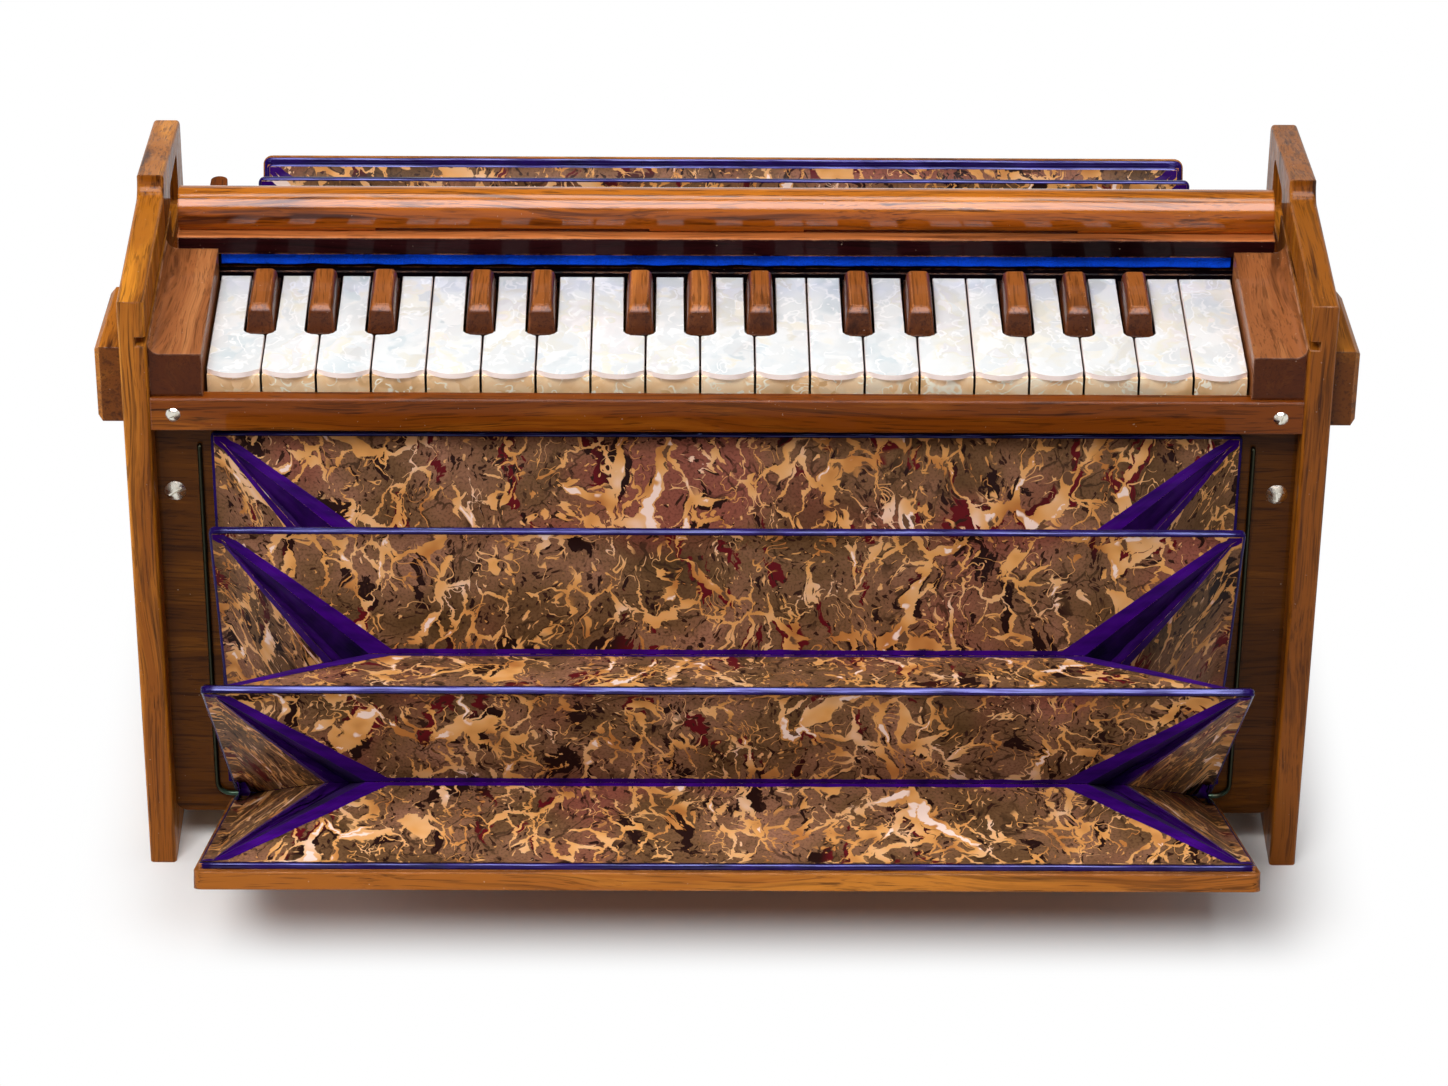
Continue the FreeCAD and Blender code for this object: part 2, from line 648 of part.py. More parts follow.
def keyboard():
    """Each key's name, kind, plan sizes and the middle of its lever, from left to right."""
    sharps = sharp_places()
    keys = []
    for number in range(WHITE_COUNT):
        x0 = number * WHITE_PITCH - KEYBOARD_HALF + KEY_GAP / 2
        x1 = x0 + WHITE_PITCH - KEY_GAP
        tail0 = sharps[number] + NOTCH_HALF if number in sharps else x0
        tail1 = sharps[number + 1] - NOTCH_HALF if number + 1 in sharps else x1
        keys.append({"name": "white_key_%02d" % (number + 1), "sharp": False, "x0": x0, "x1": x1,
                     "tail0": tail0, "tail1": tail1, "lever_x": (tail0 + tail1) / 2})
    for number, boundary in enumerate(sorted(sharps)):
        x = sharps[boundary]
        keys.append({"name": "sharp_key_%02d" % (number + 1), "sharp": True, "x": x, "lever_x": x})
    return keys


def white_plan(key, z):
    """Plan of a white key's plate: a curved nose, and notches where sharps lie beside it."""
    x0, x1, tail0, tail1 = key["x0"], key["x1"], key["tail0"], key["tail1"]
    shoulder = NOSE_FRONT + NOSE_SAG
    nose = Part.Arc(Vector(x1, shoulder, z), Vector((x0 + x1) / 2, NOSE_FRONT, z),
                    Vector(x0, shoulder, z)).toShape()
    points = [Vector(x0, shoulder, z)]
    if tail0 > x0:
        points += [Vector(x0, NOTCH_END, z), Vector(tail0, NOTCH_END, z)]
    points += [Vector(tail0, PLATE_END, z), Vector(tail1, PLATE_END, z)]
    if tail1 < x1:
        points += [Vector(tail1, NOTCH_END, z), Vector(x1, NOTCH_END, z)]
    points.append(Vector(x1, shoulder, z))
    return Part.Face(Part.Wire([nose] + [Part.makeLine(a, b) for a, b in zip(points, points[1:])]))


def pin_slot(x):
    return cylinder(PIN_RADIUS + PIN_PLAY, LEVER_REAR_TOP - LEVER_BOTTOM + 2 * OVERRUN,
                    (x, PIVOT_Y, LEVER_BOTTOM - OVERRUN), (0, 0, 1))


def pallet(x):
    """Block under the rear of a lever that covers its port."""
    z0 = PAN_TOP + PALLET_LIFT
    return box(x - PALLET_WIDTH / 2, x + PALLET_WIDTH / 2, PALLET_START, PALLET_START + PALLET_LENGTH,
               z0, LEVER_BOTTOM)


def lever_profile(x0, front, top):
    """Side profile of a lever: full height in front, thinner under the cover."""
    return [(x0, front, LEVER_BOTTOM), (x0, front, top),
            (x0, LEVER_STEP, top), (x0, LEVER_STEP, LEVER_REAR_TOP),
            (x0, LEVER_END, LEVER_REAR_TOP), (x0, LEVER_END, LEVER_BOTTOM)]


def white_key(key):
    """A white key: wooden lever with its pallet, a plate on top and an apron in front."""
    plate = white_plan(key, PLATE_BOTTOM).extrude(Vector(0, 0, PLATE_THICK))

    def notch_corner(edge):
        middle = edge.CenterOfMass
        inside = min(abs(middle.x - key["tail0"]), abs(middle.x - key["tail1"])) < SLACK
        return runs_along(edge, 2) and inside and abs(middle.y - NOTCH_END) < SLACK

    if key["tail0"] > key["x0"] or key["tail1"] < key["x1"]:
        plate = round_edges(plate, NOTCH_CORNER, notch_corner)
    apron = box(key["x0"] + SLACK, key["x1"] - SLACK, APRON_FRONT, APRON_FRONT + APRON_THICK,
                APRON_BOTTOM, PLATE_BOTTOM)
    apron_end = APRON_FRONT + APRON_THICK
    head = box(key["x0"] + SLACK, key["x1"] - SLACK, apron_end, NOTCH_END - NOTCH_CORNER,
               LEVER_FRONT_BOTTOM, PLATE_BOTTOM)
    lever_half = min(key["tail1"] - key["tail0"], SHARP_LEVER_WIDTH + KEY_GAP) / 2 - SLACK
    profile = lever_profile(key["lever_x"] - lever_half, apron_end, PLATE_BOTTOM)
    tail = prism(profile, (2 * lever_half, 0, 0))
    lever = head.fuse([tail, pallet(key["lever_x"])]).removeSplitter().cut(pin_slot(key["lever_x"]))
    return [plate, apron, lever]


def sharp_key(key):
    """A sharp key: a bevelled block of wood on a lever with its pallet."""
    x = key["x"]
    base = SHARP_BASE_WIDTH / 2
    top = SHARP_TOP_WIDTH / 2
    bevel = base - top
    low = PLATE_BOTTOM
    lower = Part.makePolygon([Vector(x - base, SHARP_START, low), Vector(x + base, SHARP_START, low),
                              Vector(x + base, SHARP_END, low), Vector(x - base, SHARP_END, low),
                              Vector(x - base, SHARP_START, low)])
    upper = Part.makePolygon([Vector(x - top, SHARP_START + SHARP_SLOPE, SHARP_TOP),
                              Vector(x + top, SHARP_START + SHARP_SLOPE, SHARP_TOP),
                              Vector(x + top, SHARP_END - bevel / 2, SHARP_TOP),
                              Vector(x - top, SHARP_END - bevel / 2, SHARP_TOP),
                              Vector(x - top, SHARP_START + SHARP_SLOPE, SHARP_TOP)])
    block = Part.makeLoft([lower, upper], True, True)
    half = SHARP_LEVER_WIDTH / 2
    tail = prism(lever_profile(x - half, SHARP_START, PLATE_BOTTOM), (2 * half, 0, 0))
    lever = tail.fuse(pallet(x)).removeSplitter().cut(pin_slot(x))
    return [block, lever]


def key_solids(key):
    return sharp_key(key) if key["sharp"] else white_key(key)


def fan_point(hinge_y, side, x, reach, angle_deg, lift):
    """A point of a bellows: side is -1 for the front fan and 1 for the rear one.

    reach is the distance from the hinge line in the plane that stands angle_deg
    from upright, and lift the distance off that plane, away from the case."""
    angle = math.radians(angle_deg)
    out = reach * math.sin(angle) + lift * math.cos(angle)
    up = reach * math.cos(angle) - lift * math.sin(angle)
    return (x, hinge_y + side * out, HINGE_Z + up)


def fan_prism(fan, x0, x1, section, angle_deg):
    """A bar along X whose section is given as (reach, lift) points in a fan plane."""
    points = [fan_point(fan["y"], fan["side"], x0, reach, angle_deg, lift) for reach, lift in section]
    return prism(points, (x1 - x0, 0, 0))


def frame_size(fan, angle_deg):
    """Half the width of the frame at that angle and its reach; the fixed one may be larger."""
    return fan["fixed_size"] if angle_deg == 0 else (fan["half"], fan["reach"])


def frame_solid(fan, angle_deg, low_share, high_share):
    """A leather bound frame: top strip and two side strips that thin towards the hinge.

    The shares say how much of the thickness lies on the case's side and how
    much on the far side of the frame's plane."""
    half, reach = frame_size(fan, angle_deg)
    inner = reach - FRAME_STRIP
    thick = FRAME_THICK / 2
    thin = FRAME_START_THICK / 2
    top = [(inner, -thick * low_share), (reach, -thick * low_share),
           (reach, thick * high_share), (inner, thick * high_share)]
    side = [(FRAME_START, -thin * low_share), (inner, -thick * low_share),
            (inner, thick * high_share), (FRAME_START, thin * high_share)]
    strips = [fan_prism(fan, -half, half, top, angle_deg),
              fan_prism(fan, -half, -half + FRAME_STRIP, side, angle_deg),
              fan_prism(fan, half - FRAME_STRIP, half, side, angle_deg)]
    return strips[0].fuse(strips[1:]).removeSplitter()


def plate_between(corners):
    """A thin sheet through three or four corners of one plane, half its thickness each way."""
    a, b, c = (Vector(*corner) for corner in corners[:3])
    normal = (b - a).cross(c - a)
    normal.normalize()
    shift = normal * (RIB_THICK / 2)
    points = [tuple(Vector(*corner) - shift) for corner in corners]
    return prism(points, tuple(shift * 2))


def pleat_half(fan, ridge_deg, valley_deg):
    """The ribs and gussets from one frame to the valley beside it."""
    away = 1 if valley_deg > ridge_deg else -1
    frame_half, frame_reach = frame_size(fan, ridge_deg)
    half = frame_half - FRAME_STRIP - RIB_INSET
    reach = frame_reach - FRAME_STRIP - RIB_INSET

    def ridge(x, r):
        return fan_point(fan["y"], fan["side"], x, r, ridge_deg, away * RIB_LIFT)

    def valley(x, r):
        return fan_point(fan["y"], fan["side"], x, r, valley_deg, -away * RIB_LIFT)

    sheets = [plate_between([ridge(-half, reach), ridge(half, reach),
                             valley(fan["valley_half"], fan["valley_reach"]),
                             valley(-fan["valley_half"], fan["valley_reach"])])]
    for end in (-1, 1):
        corner = ridge(end * (half - GUSSET_GAP), reach - GUSSET_GAP)
        tip = valley(end * GUSSET_HALF, fan["gusset_reach"])
        sheets.append(plate_between([ridge(end * half, reach - 2 * GUSSET_GAP),
                                     ridge(end * half, FRAME_START + FRAME_STRIP),
                                     valley(end * fan["side_valley_half"], fan["side_valley_reach"])]))
        upper = plate_between([corner, valley(end * (fan["valley_half"] + GUSSET_GAP),
                                              fan["valley_reach"] - GUSSET_GAP), tip])
        lower = plate_between([corner, valley(end * (fan["side_valley_half"] - GUSSET_GAP),
                                              fan["side_valley_reach"] - GUSSET_GAP), tip])
        sheets.append(upper.fuse(lower).removeSplitter())
    return sheets


def pleat(fan, number):
    """One pleat, between two frames."""
    start = sum(fan["pleats"][:number])
    end = start + fan["pleats"][number]
    valley = (start + end) / 2
    return pleat_half(fan, start, valley) + pleat_half(fan, end, valley)


def fan_board(fan):
    """The wooden moving board with its own bound frame on the inside."""
    angle = sum(fan["pleats"])
    half = fan["half"] + BOARD_SIDE_OVERHANG
    section = [(BOARD_START, BOARD_INNER), (fan["reach"] + BOARD_OVERHANG, BOARD_INNER),
               (fan["reach"] + BOARD_OVERHANG, BOARD_OUTER), (BOARD_START, BOARD_OUTER)]
    board = fan_prism(fan, -half, half, section, angle)
    corner_reach = fan["reach"] + BOARD_OVERHANG
    spot = Vector(*fan_point(fan["y"], fan["side"], half, corner_reach, angle,
                             (BOARD_INNER + BOARD_OUTER) / 2))
    mirrored = Vector(-spot.x, spot.y, spot.z)
    edges = [edge for edge in board.Edges
             if edge.CenterOfMass.distanceToPoint(spot) < SLACK
             or edge.CenterOfMass.distanceToPoint(mirrored) < SLACK]
    board = board.makeFillet(BOARD_CORNER, edges)
    return [board, frame_solid(fan, angle, 1, 1)]


FRONT_FAN = {"y": FRONT_HINGE_Y, "side": -1, "half": FRAME_HALF, "reach": FRAME_REACH,
             "fixed_size": (FIXED_FRAME_HALF, FIXED_FRAME_REACH),
             "valley_half": VALLEY_HALF, "valley_reach": VALLEY_REACH,
             "side_valley_half": SIDE_VALLEY_HALF, "side_valley_reach": SIDE_VALLEY_REACH,
             "gusset_reach": GUSSET_REACH, "pleats": FRONT_PLEATS_DEG}
REAR_FAN = {"y": REAR_HINGE_Y, "side": 1, "half": REAR_FRAME_HALF, "reach": REAR_FRAME_REACH,
            "fixed_size": (REAR_FRAME_HALF, REAR_FRAME_REACH),
            "valley_half": VALLEY_HALF, "valley_reach": REAR_VALLEY_REACH,
            "side_valley_half": SIDE_VALLEY_HALF, "side_valley_reach": REAR_SIDE_VALLEY_REACH,
            "gusset_reach": REAR_GUSSET_REACH, "pleats": REAR_PLEATS_DEG}


def fixed_frames():
    """The frames glued to the front and rear panels."""
    share = HINGE_OFF / (FRAME_THICK / 2)
    return [frame_solid(fan, 0, share, share) for fan in (FRONT_FAN, REAR_FAN)]


def front_fold_frame(number):
    return [frame_solid(FRONT_FAN, sum(FRONT_PLEATS_DEG[:number]), 1, 1)]


def rear_fold_frame():
    return [frame_solid(REAR_FAN, REAR_PLEATS_DEG[0], 1, 1)]


def front_pleats():
    return [sheet for number in range(len(FRONT_PLEATS_DEG)) for sheet in pleat(FRONT_FAN, number)]


def rear_pleats():
    return [sheet for number in range(len(REAR_PLEATS_DEG)) for sheet in pleat(REAR_FAN, number)]


def hinge_wire():
    """Brass wire along the front hinge line, its two arms bent up the panel's face."""
    y = FRONT_HINGE_Y
    turn = quarter_round_mid(WIRE_BEND)
    tip_y = y + PANEL_THICK / 2
    straight = WIRE_HALF - WIRE_BEND
    edges = [Part.makeLine(Vector(-straight, y, HINGE_Z), Vector(straight, y, HINGE_Z))]
    for end in (-1, 1):
        foot = Vector(end * straight, y, HINGE_Z)
        middle = Vector(end * (WIRE_HALF - turn), y, HINGE_Z + turn)
        rise = Vector(end * WIRE_HALF, y, HINGE_Z + WIRE_BEND)
        edges.append(Part.Arc(foot, middle, rise).toShape())
        edges.append(Part.makeLine(rise, Vector(end * WIRE_HALF, y, WIRE_TOP - WIRE_RADIUS)))
    path = Part.Wire(Part.__sortEdges__(edges))
    start = path.OrderedVertexes[0].Point
    ring = Part.Wire(Part.makeCircle(WIRE_RADIUS, start, Vector(0, 0, 1)))
    wire = path.makePipeShell([ring], True, False, 0)
    tips = [cylinder(WIRE_RADIUS, tip_y - y, (end * WIRE_HALF, y, WIRE_TOP - WIRE_RADIUS), (0, 1, 0))
            for end in (-1, 1)]
    balls = [Part.makeSphere(WIRE_RADIUS, Vector(end * WIRE_HALF, y, WIRE_TOP - WIRE_RADIUS))
             for end in (-1, 1)]
    return [wire.fuse(tips + balls)]


def wire_bores():
    """Holes in the front panel that the wire's tips go into."""
    y = FRONT_HINGE_Y
    return [cylinder(WIRE_RADIUS, PANEL_THICK / 2, (end * WIRE_HALF, y, WIRE_TOP - WIRE_RADIUS), (0, 1, 0))
            for end in (-1, 1)]


def screw_places():
    """Every screw's head middle, outward direction, head radius and slot angle in degrees."""
    rail_z = (RAIL_BOTTOM + RAIL_TOP) / 2
    places = []
    for end, slot_deg in zip((-1, 1), RAIL_SLOTS_DEG):
        places.append(((end * RAIL_SCREW_X, RAIL_FRONT, rail_z), (0, -1, 0), RAIL_SCREW_RADIUS, slot_deg))
    for end, slot_deg in zip((-1, 1), PANEL_SLOTS_DEG):
        places.append(((end * PANEL_SCREW_X, PANEL_SETBACK, PANEL_SCREW_Z), (0, -1, 0),
                       PANEL_SCREW_RADIUS, slot_deg))
        places.append(((end * PANEL_SCREW_X, REAR_FACE, PANEL_SCREW_Z), (0, 1, 0),
                       PANEL_SCREW_RADIUS, slot_deg))
    return places


def button_screw_places():
    z = BUTTON_Z + BUTTON_THICK + BUTTON_GAP
    return [((x, BUTTON_Y, z), (0, 0, 1), RAIL_SCREW_RADIUS, 0)
            for x in (BUTTON_LEFT_X, BUTTON_RIGHT_X)]


def screw(middle, outward, radius, slot_deg):
    """A slotted screw with a low domed head, seated with its head on the wood."""
    dome_radius = (radius * radius + SCREW_HEAD * SCREW_HEAD) / (2 * SCREW_HEAD)
    face = Vector(*middle)
    out = Vector(*outward)
    centre = face + out * (SCREW_HEAD - dome_radius)
    head = Part.makeSphere(dome_radius, centre).common(
        Part.makeCylinder(radius, SCREW_HEAD, face, out))
    length = 2 * radius + 2 * OVERRUN
    slot = box(-length / 2, length / 2, -SLOT_WIDTH / 2, SLOT_WIDTH / 2, 0, OVERRUN)
    slot.rotate(Vector(0, 0, 0), Vector(0, 0, 1), slot_deg)
    slot.Placement = FreeCAD.Placement(face + out * (SCREW_HEAD / 2),
                                       FreeCAD.Rotation(Vector(0, 0, 1), out)) * slot.Placement
    shank = Part.makeCylinder(SCREW_SHANK_RADIUS, SCREW_SHANK, face, out * -1)
    return head.cut(slot).fuse(shank)


def case_screws():
    return [screw(*place) for place in screw_places() + button_screw_places()]


def screw_bores():
    """Holes for the screws' shanks."""
    return [Part.makeCylinder(SCREW_SHANK_RADIUS, SCREW_SHANK, Vector(*middle), Vector(*outward) * -1)
            for middle, outward, _radius, _slot in screw_places() + button_screw_places()]


def button_posts():
    """Small washers between the cover and the turn buttons."""
    posts = [cylinder(BUTTON_POST_RADIUS, BUTTON_POST, (x, BUTTON_Y, COVER_TOP), (0, 0, 1))
             for x in (BUTTON_LEFT_X, BUTTON_RIGHT_X)]
    return [post.cut(screw_bores()) for post in posts]


def turn_button(x, reach):
    """A rounded wooden button that swings about its screw; reach is the way it points at rest."""
    radius = BUTTON_WIDTH / 2
    bar = box(0, BUTTON_LENGTH - 2 * radius, -radius, radius, 0, BUTTON_THICK)
    ends = [cylinder(radius, BUTTON_THICK, (place, 0, 0), (0, 0, 1))
            for place in (0, BUTTON_LENGTH - 2 * radius)]
    button = bar.fuse(ends).removeSplitter()
    button = button.cut(cylinder(SCREW_SHANK_RADIUS + BUTTON_GAP, BUTTON_THICK + 2 * OVERRUN,
                                 (0, 0, -OVERRUN), (0, 0, 1)))
    button.rotate(Vector(0, 0, 0), Vector(0, 0, 1), reach)
    button.translate(Vector(x, BUTTON_Y, BUTTON_Z))
    return [button]


def case_nodes():
    return {
        "side_board_left": side_board_left(),
        "side_board_right": side_board_right(),
        "front_panel": front_panel(),
        "rear_panel": rear_panel(),
        "bottom_board": bottom_board(),
        "top_cover": top_cover() + button_posts(),
        "front_rail": front_rail(),
        "cheek_blocks": cheek_blocks(),
        "name_ledge": name_ledge(),
        "name_felt": name_felt(),
        "round_bar": round_bar(),
        "reed_pan": reed_pan(),
        "reeds": reeds(),
        "balance_rail": balance_rail(),
        "key_wires": key_wires(),
        "flap_valves": flap_valves(),
        "case_screws": case_screws(),
        "hinge_wire": hinge_wire(),
        "turn_button_left": turn_button(BUTTON_LEFT_X, BUTTON_LEFT_DEG),
        "turn_button_right": turn_button(BUTTON_RIGHT_X, BUTTON_RIGHT_DEG),
    }


def bellows_nodes():
    return {
        "fixed_fold_frames": fixed_frames(),
        "front_fold_frame_1": front_fold_frame(1),
        "front_fold_frame_2": front_fold_frame(2),
        "front_board": fan_board(FRONT_FAN),
        "front_pleats": front_pleats(),
        "rear_fold_frame": rear_fold_frame(),
        "rear_board": fan_board(REAR_FAN),
        "rear_pleats": rear_pleats(),
    }


def main():
    os.makedirs("parts", exist_ok=True)
    nodes = case_nodes()
    nodes.update(bellows_nodes())
    for key in keyboard():
        nodes[key["name"]] = key_solids(key)
    for name, solids in nodes.items():
        shape = solids[0] if len(solids) == 1 else Part.makeCompound(solids)
        shape.translate(Vector(0, -ORIGIN_Y, 0))
        if not shape.isValid():
            print("not valid:", name)
        shape.exportStep("parts/" + name + ".step")
    print(len(nodes), "nodes")


main()
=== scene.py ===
import math
import random
from types import SimpleNamespace

import bmesh
import bpy
from mathutils import Matrix, Vector, noise


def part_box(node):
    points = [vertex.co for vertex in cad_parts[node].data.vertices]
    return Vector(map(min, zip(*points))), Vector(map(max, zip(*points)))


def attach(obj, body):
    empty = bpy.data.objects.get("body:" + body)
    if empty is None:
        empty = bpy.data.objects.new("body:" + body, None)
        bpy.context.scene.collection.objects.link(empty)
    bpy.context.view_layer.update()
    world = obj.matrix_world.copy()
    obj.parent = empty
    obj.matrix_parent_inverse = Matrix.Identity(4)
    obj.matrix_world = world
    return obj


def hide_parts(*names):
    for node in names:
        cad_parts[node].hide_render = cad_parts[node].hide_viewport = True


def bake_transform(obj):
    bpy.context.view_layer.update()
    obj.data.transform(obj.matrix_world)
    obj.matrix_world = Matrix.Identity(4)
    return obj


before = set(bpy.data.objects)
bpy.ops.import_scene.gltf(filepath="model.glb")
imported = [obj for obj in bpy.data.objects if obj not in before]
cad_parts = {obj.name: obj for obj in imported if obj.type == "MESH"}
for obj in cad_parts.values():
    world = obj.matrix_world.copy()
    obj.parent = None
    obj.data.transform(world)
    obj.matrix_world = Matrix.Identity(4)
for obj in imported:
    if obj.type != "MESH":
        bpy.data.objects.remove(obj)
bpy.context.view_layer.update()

# The shapes are in millimetres in the case's own frame, where Y = 0 is the front edge of the side
# boards, and at() turns them into the frame's metres. The looks are in metres.
MM = 0.001
SHIFT_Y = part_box("side_board_left")[0].y


def at(x, y, z):
    return Vector((x * MM, y * MM + SHIFT_Y, z * MM))


def new_object(name, data):
    piece = bpy.data.objects.new(name, data)
    bpy.context.scene.collection.objects.link(piece)
    return piece


# Looks

# How far the wood's shader rounds its edges
EDGE_RADIUS = 0.0011


class Nodes:
    """The node tree of a material or of the world, with short names for the nodes it is made of."""

    def __init__(self, owner):
        owner.use_nodes = True
        self.owner = owner
        self.tree = owner.node_tree

    def fill(self, node, inputs):
        """Sets a node's inputs, each to a value or to another node's socket; i0 is the input 0."""
        for key, value in inputs.items():
            socket = node.inputs[int(key[1:]) if key[1:].isdigit() else key.replace("_", " ")]
            if isinstance(value, bpy.types.NodeSocket):
                self.tree.links.new(value, socket)
            else:
                socket.default_value = value
        return node

    def add(self, kind, settings=None, **inputs):
        made = self.tree.nodes.new(kind)
        for key, value in (settings or {}).items():
            setattr(made, key, value)
        return self.fill(made, inputs)

    def surface(self, **inputs):
        """Sets the inputs of the material's own shader, which finishes the material."""
        self.fill(self.tree.nodes["Principled BSDF"], inputs)
        return self.owner

    def maths(self, operation, a, b=0.0):
        return self.add("ShaderNodeMath", {"operation": operation}, i0=a, i1=b).outputs[0]

    def times(self, *factors):
        product = factors[0]
        for factor in factors[1:]:
            product = self.maths("MULTIPLY", product, factor)
        return product

    def plus(self, a, b):
        return self.maths("ADD", a, b)

    def less(self, a, b):
        return self.maths("SUBTRACT", a, b)

    def rest(self, share):
        """What a share leaves of one."""
        return self.less(1.0, share)

    def size(self, a):
        return self.maths("ABSOLUTE", a)

    def most(self, a, b):
        return self.maths("MAXIMUM", a, b)

    def vector(self, operation, *inputs):
        named = {"i%d" % k: value for k, value in enumerate(inputs)}
        return self.add("ShaderNodeVectorMath", {"operation": operation}, **named).outputs

    def xyz(self, vector):
        return self.add("ShaderNodeSeparateXYZ", Vector=vector).outputs

    def here(self, output="Object"):
        return self.add("ShaderNodeTexCoord").outputs[output]

    def normal(self):
        return self.add("ShaderNodeNewGeometry").outputs["Normal"]

    def flat(self):
        """The flat coordinates of a sheet."""
        return self.add("ShaderNodeUVMap", {"uv_map": "flat"}).outputs["UV"]

    def ramp(self, value, stops):
        """A colour ramp; stops are (place, colour)."""
        made = self.add("ShaderNodeValToRGB", Fac=value)
        points = made.color_ramp.elements
        while len(points) < len(stops):
            points.new(0.5)
        for point, (place, colour) in zip(points, stops):
            point.position = place
            point.color = (*colour, 1.0)
        return made.outputs["Color"]

    def step(self, value, low, high):
        """0 below low, 1 above high."""
        return self.add("ShaderNodeMapRange", {"interpolation_type": "SMOOTHSTEP"},
                        Value=value, From_Min=low, From_Max=high).outputs["Result"]

    def mix(self, share, a, b, kind="MIX"):
        a, b = ((*colour, 1.0) if isinstance(colour, tuple) else colour for colour in (a, b))
        return self.add("ShaderNodeMix", {"data_type": "RGBA", "blend_type": kind},
                        i0=share, i6=a, i7=b).outputs[2]

    def over(self, base, colour, *shares):
        """A colour laid over a base, as much as the product of the shares says."""
        return self.mix(self.times(*shares), base, colour)

    def scaled(self, vector, scale, offset=(0, 0, 0), turn=(0, 0, 0)):
        return self.add("ShaderNodeMapping", Vector=vector, Scale=scale, Location=offset,
                        Rotation=turn).outputs["Vector"]

    def fuzz(self, vector, scale, detail=3.0, rough=0.55, warp=0.0):
        return self.add("ShaderNodeTexNoise", Vector=vector, Scale=scale, Detail=detail,
                        Roughness=rough, Distortion=warp).outputs["Fac"]

    def warped(self, vector, scale, push, detail=3.0, source=None):
        """A vector pushed about by noise, by up to push along each axis."""
        noisy = self.add("ShaderNodeTexNoise", Vector=vector if source is None else source,
                         Scale=scale, Detail=detail)
        return self.vector("MULTIPLY_ADD", noisy.outputs["Color"], push, vector)[0]

    def cells(self, vector, scale, feature="F1", **more):
        return self.add("ShaderNodeTexVoronoi", {"feature": feature}, Vector=vector, Scale=scale,
                        **more).outputs

    def bump(self, height, depth, strength, **more):
        return self.add("ShaderNodeBump", Height=height, Distance=depth, Strength=strength,
                        **more).outputs["Normal"]


def new_nodes(name):
    return Nodes(bpy.data.materials.new(name))


def along(t, place, axis):
    """The grain's own coordinates for wood that runs along an axis."""
    others = [i for i in (0, 1, 2) if i != axis]
    swapped = t.add("ShaderNodeCombineXYZ", X=place[axis], Y=place[others[0]], Z=place[others[1]])
    return swapped.outputs[0]


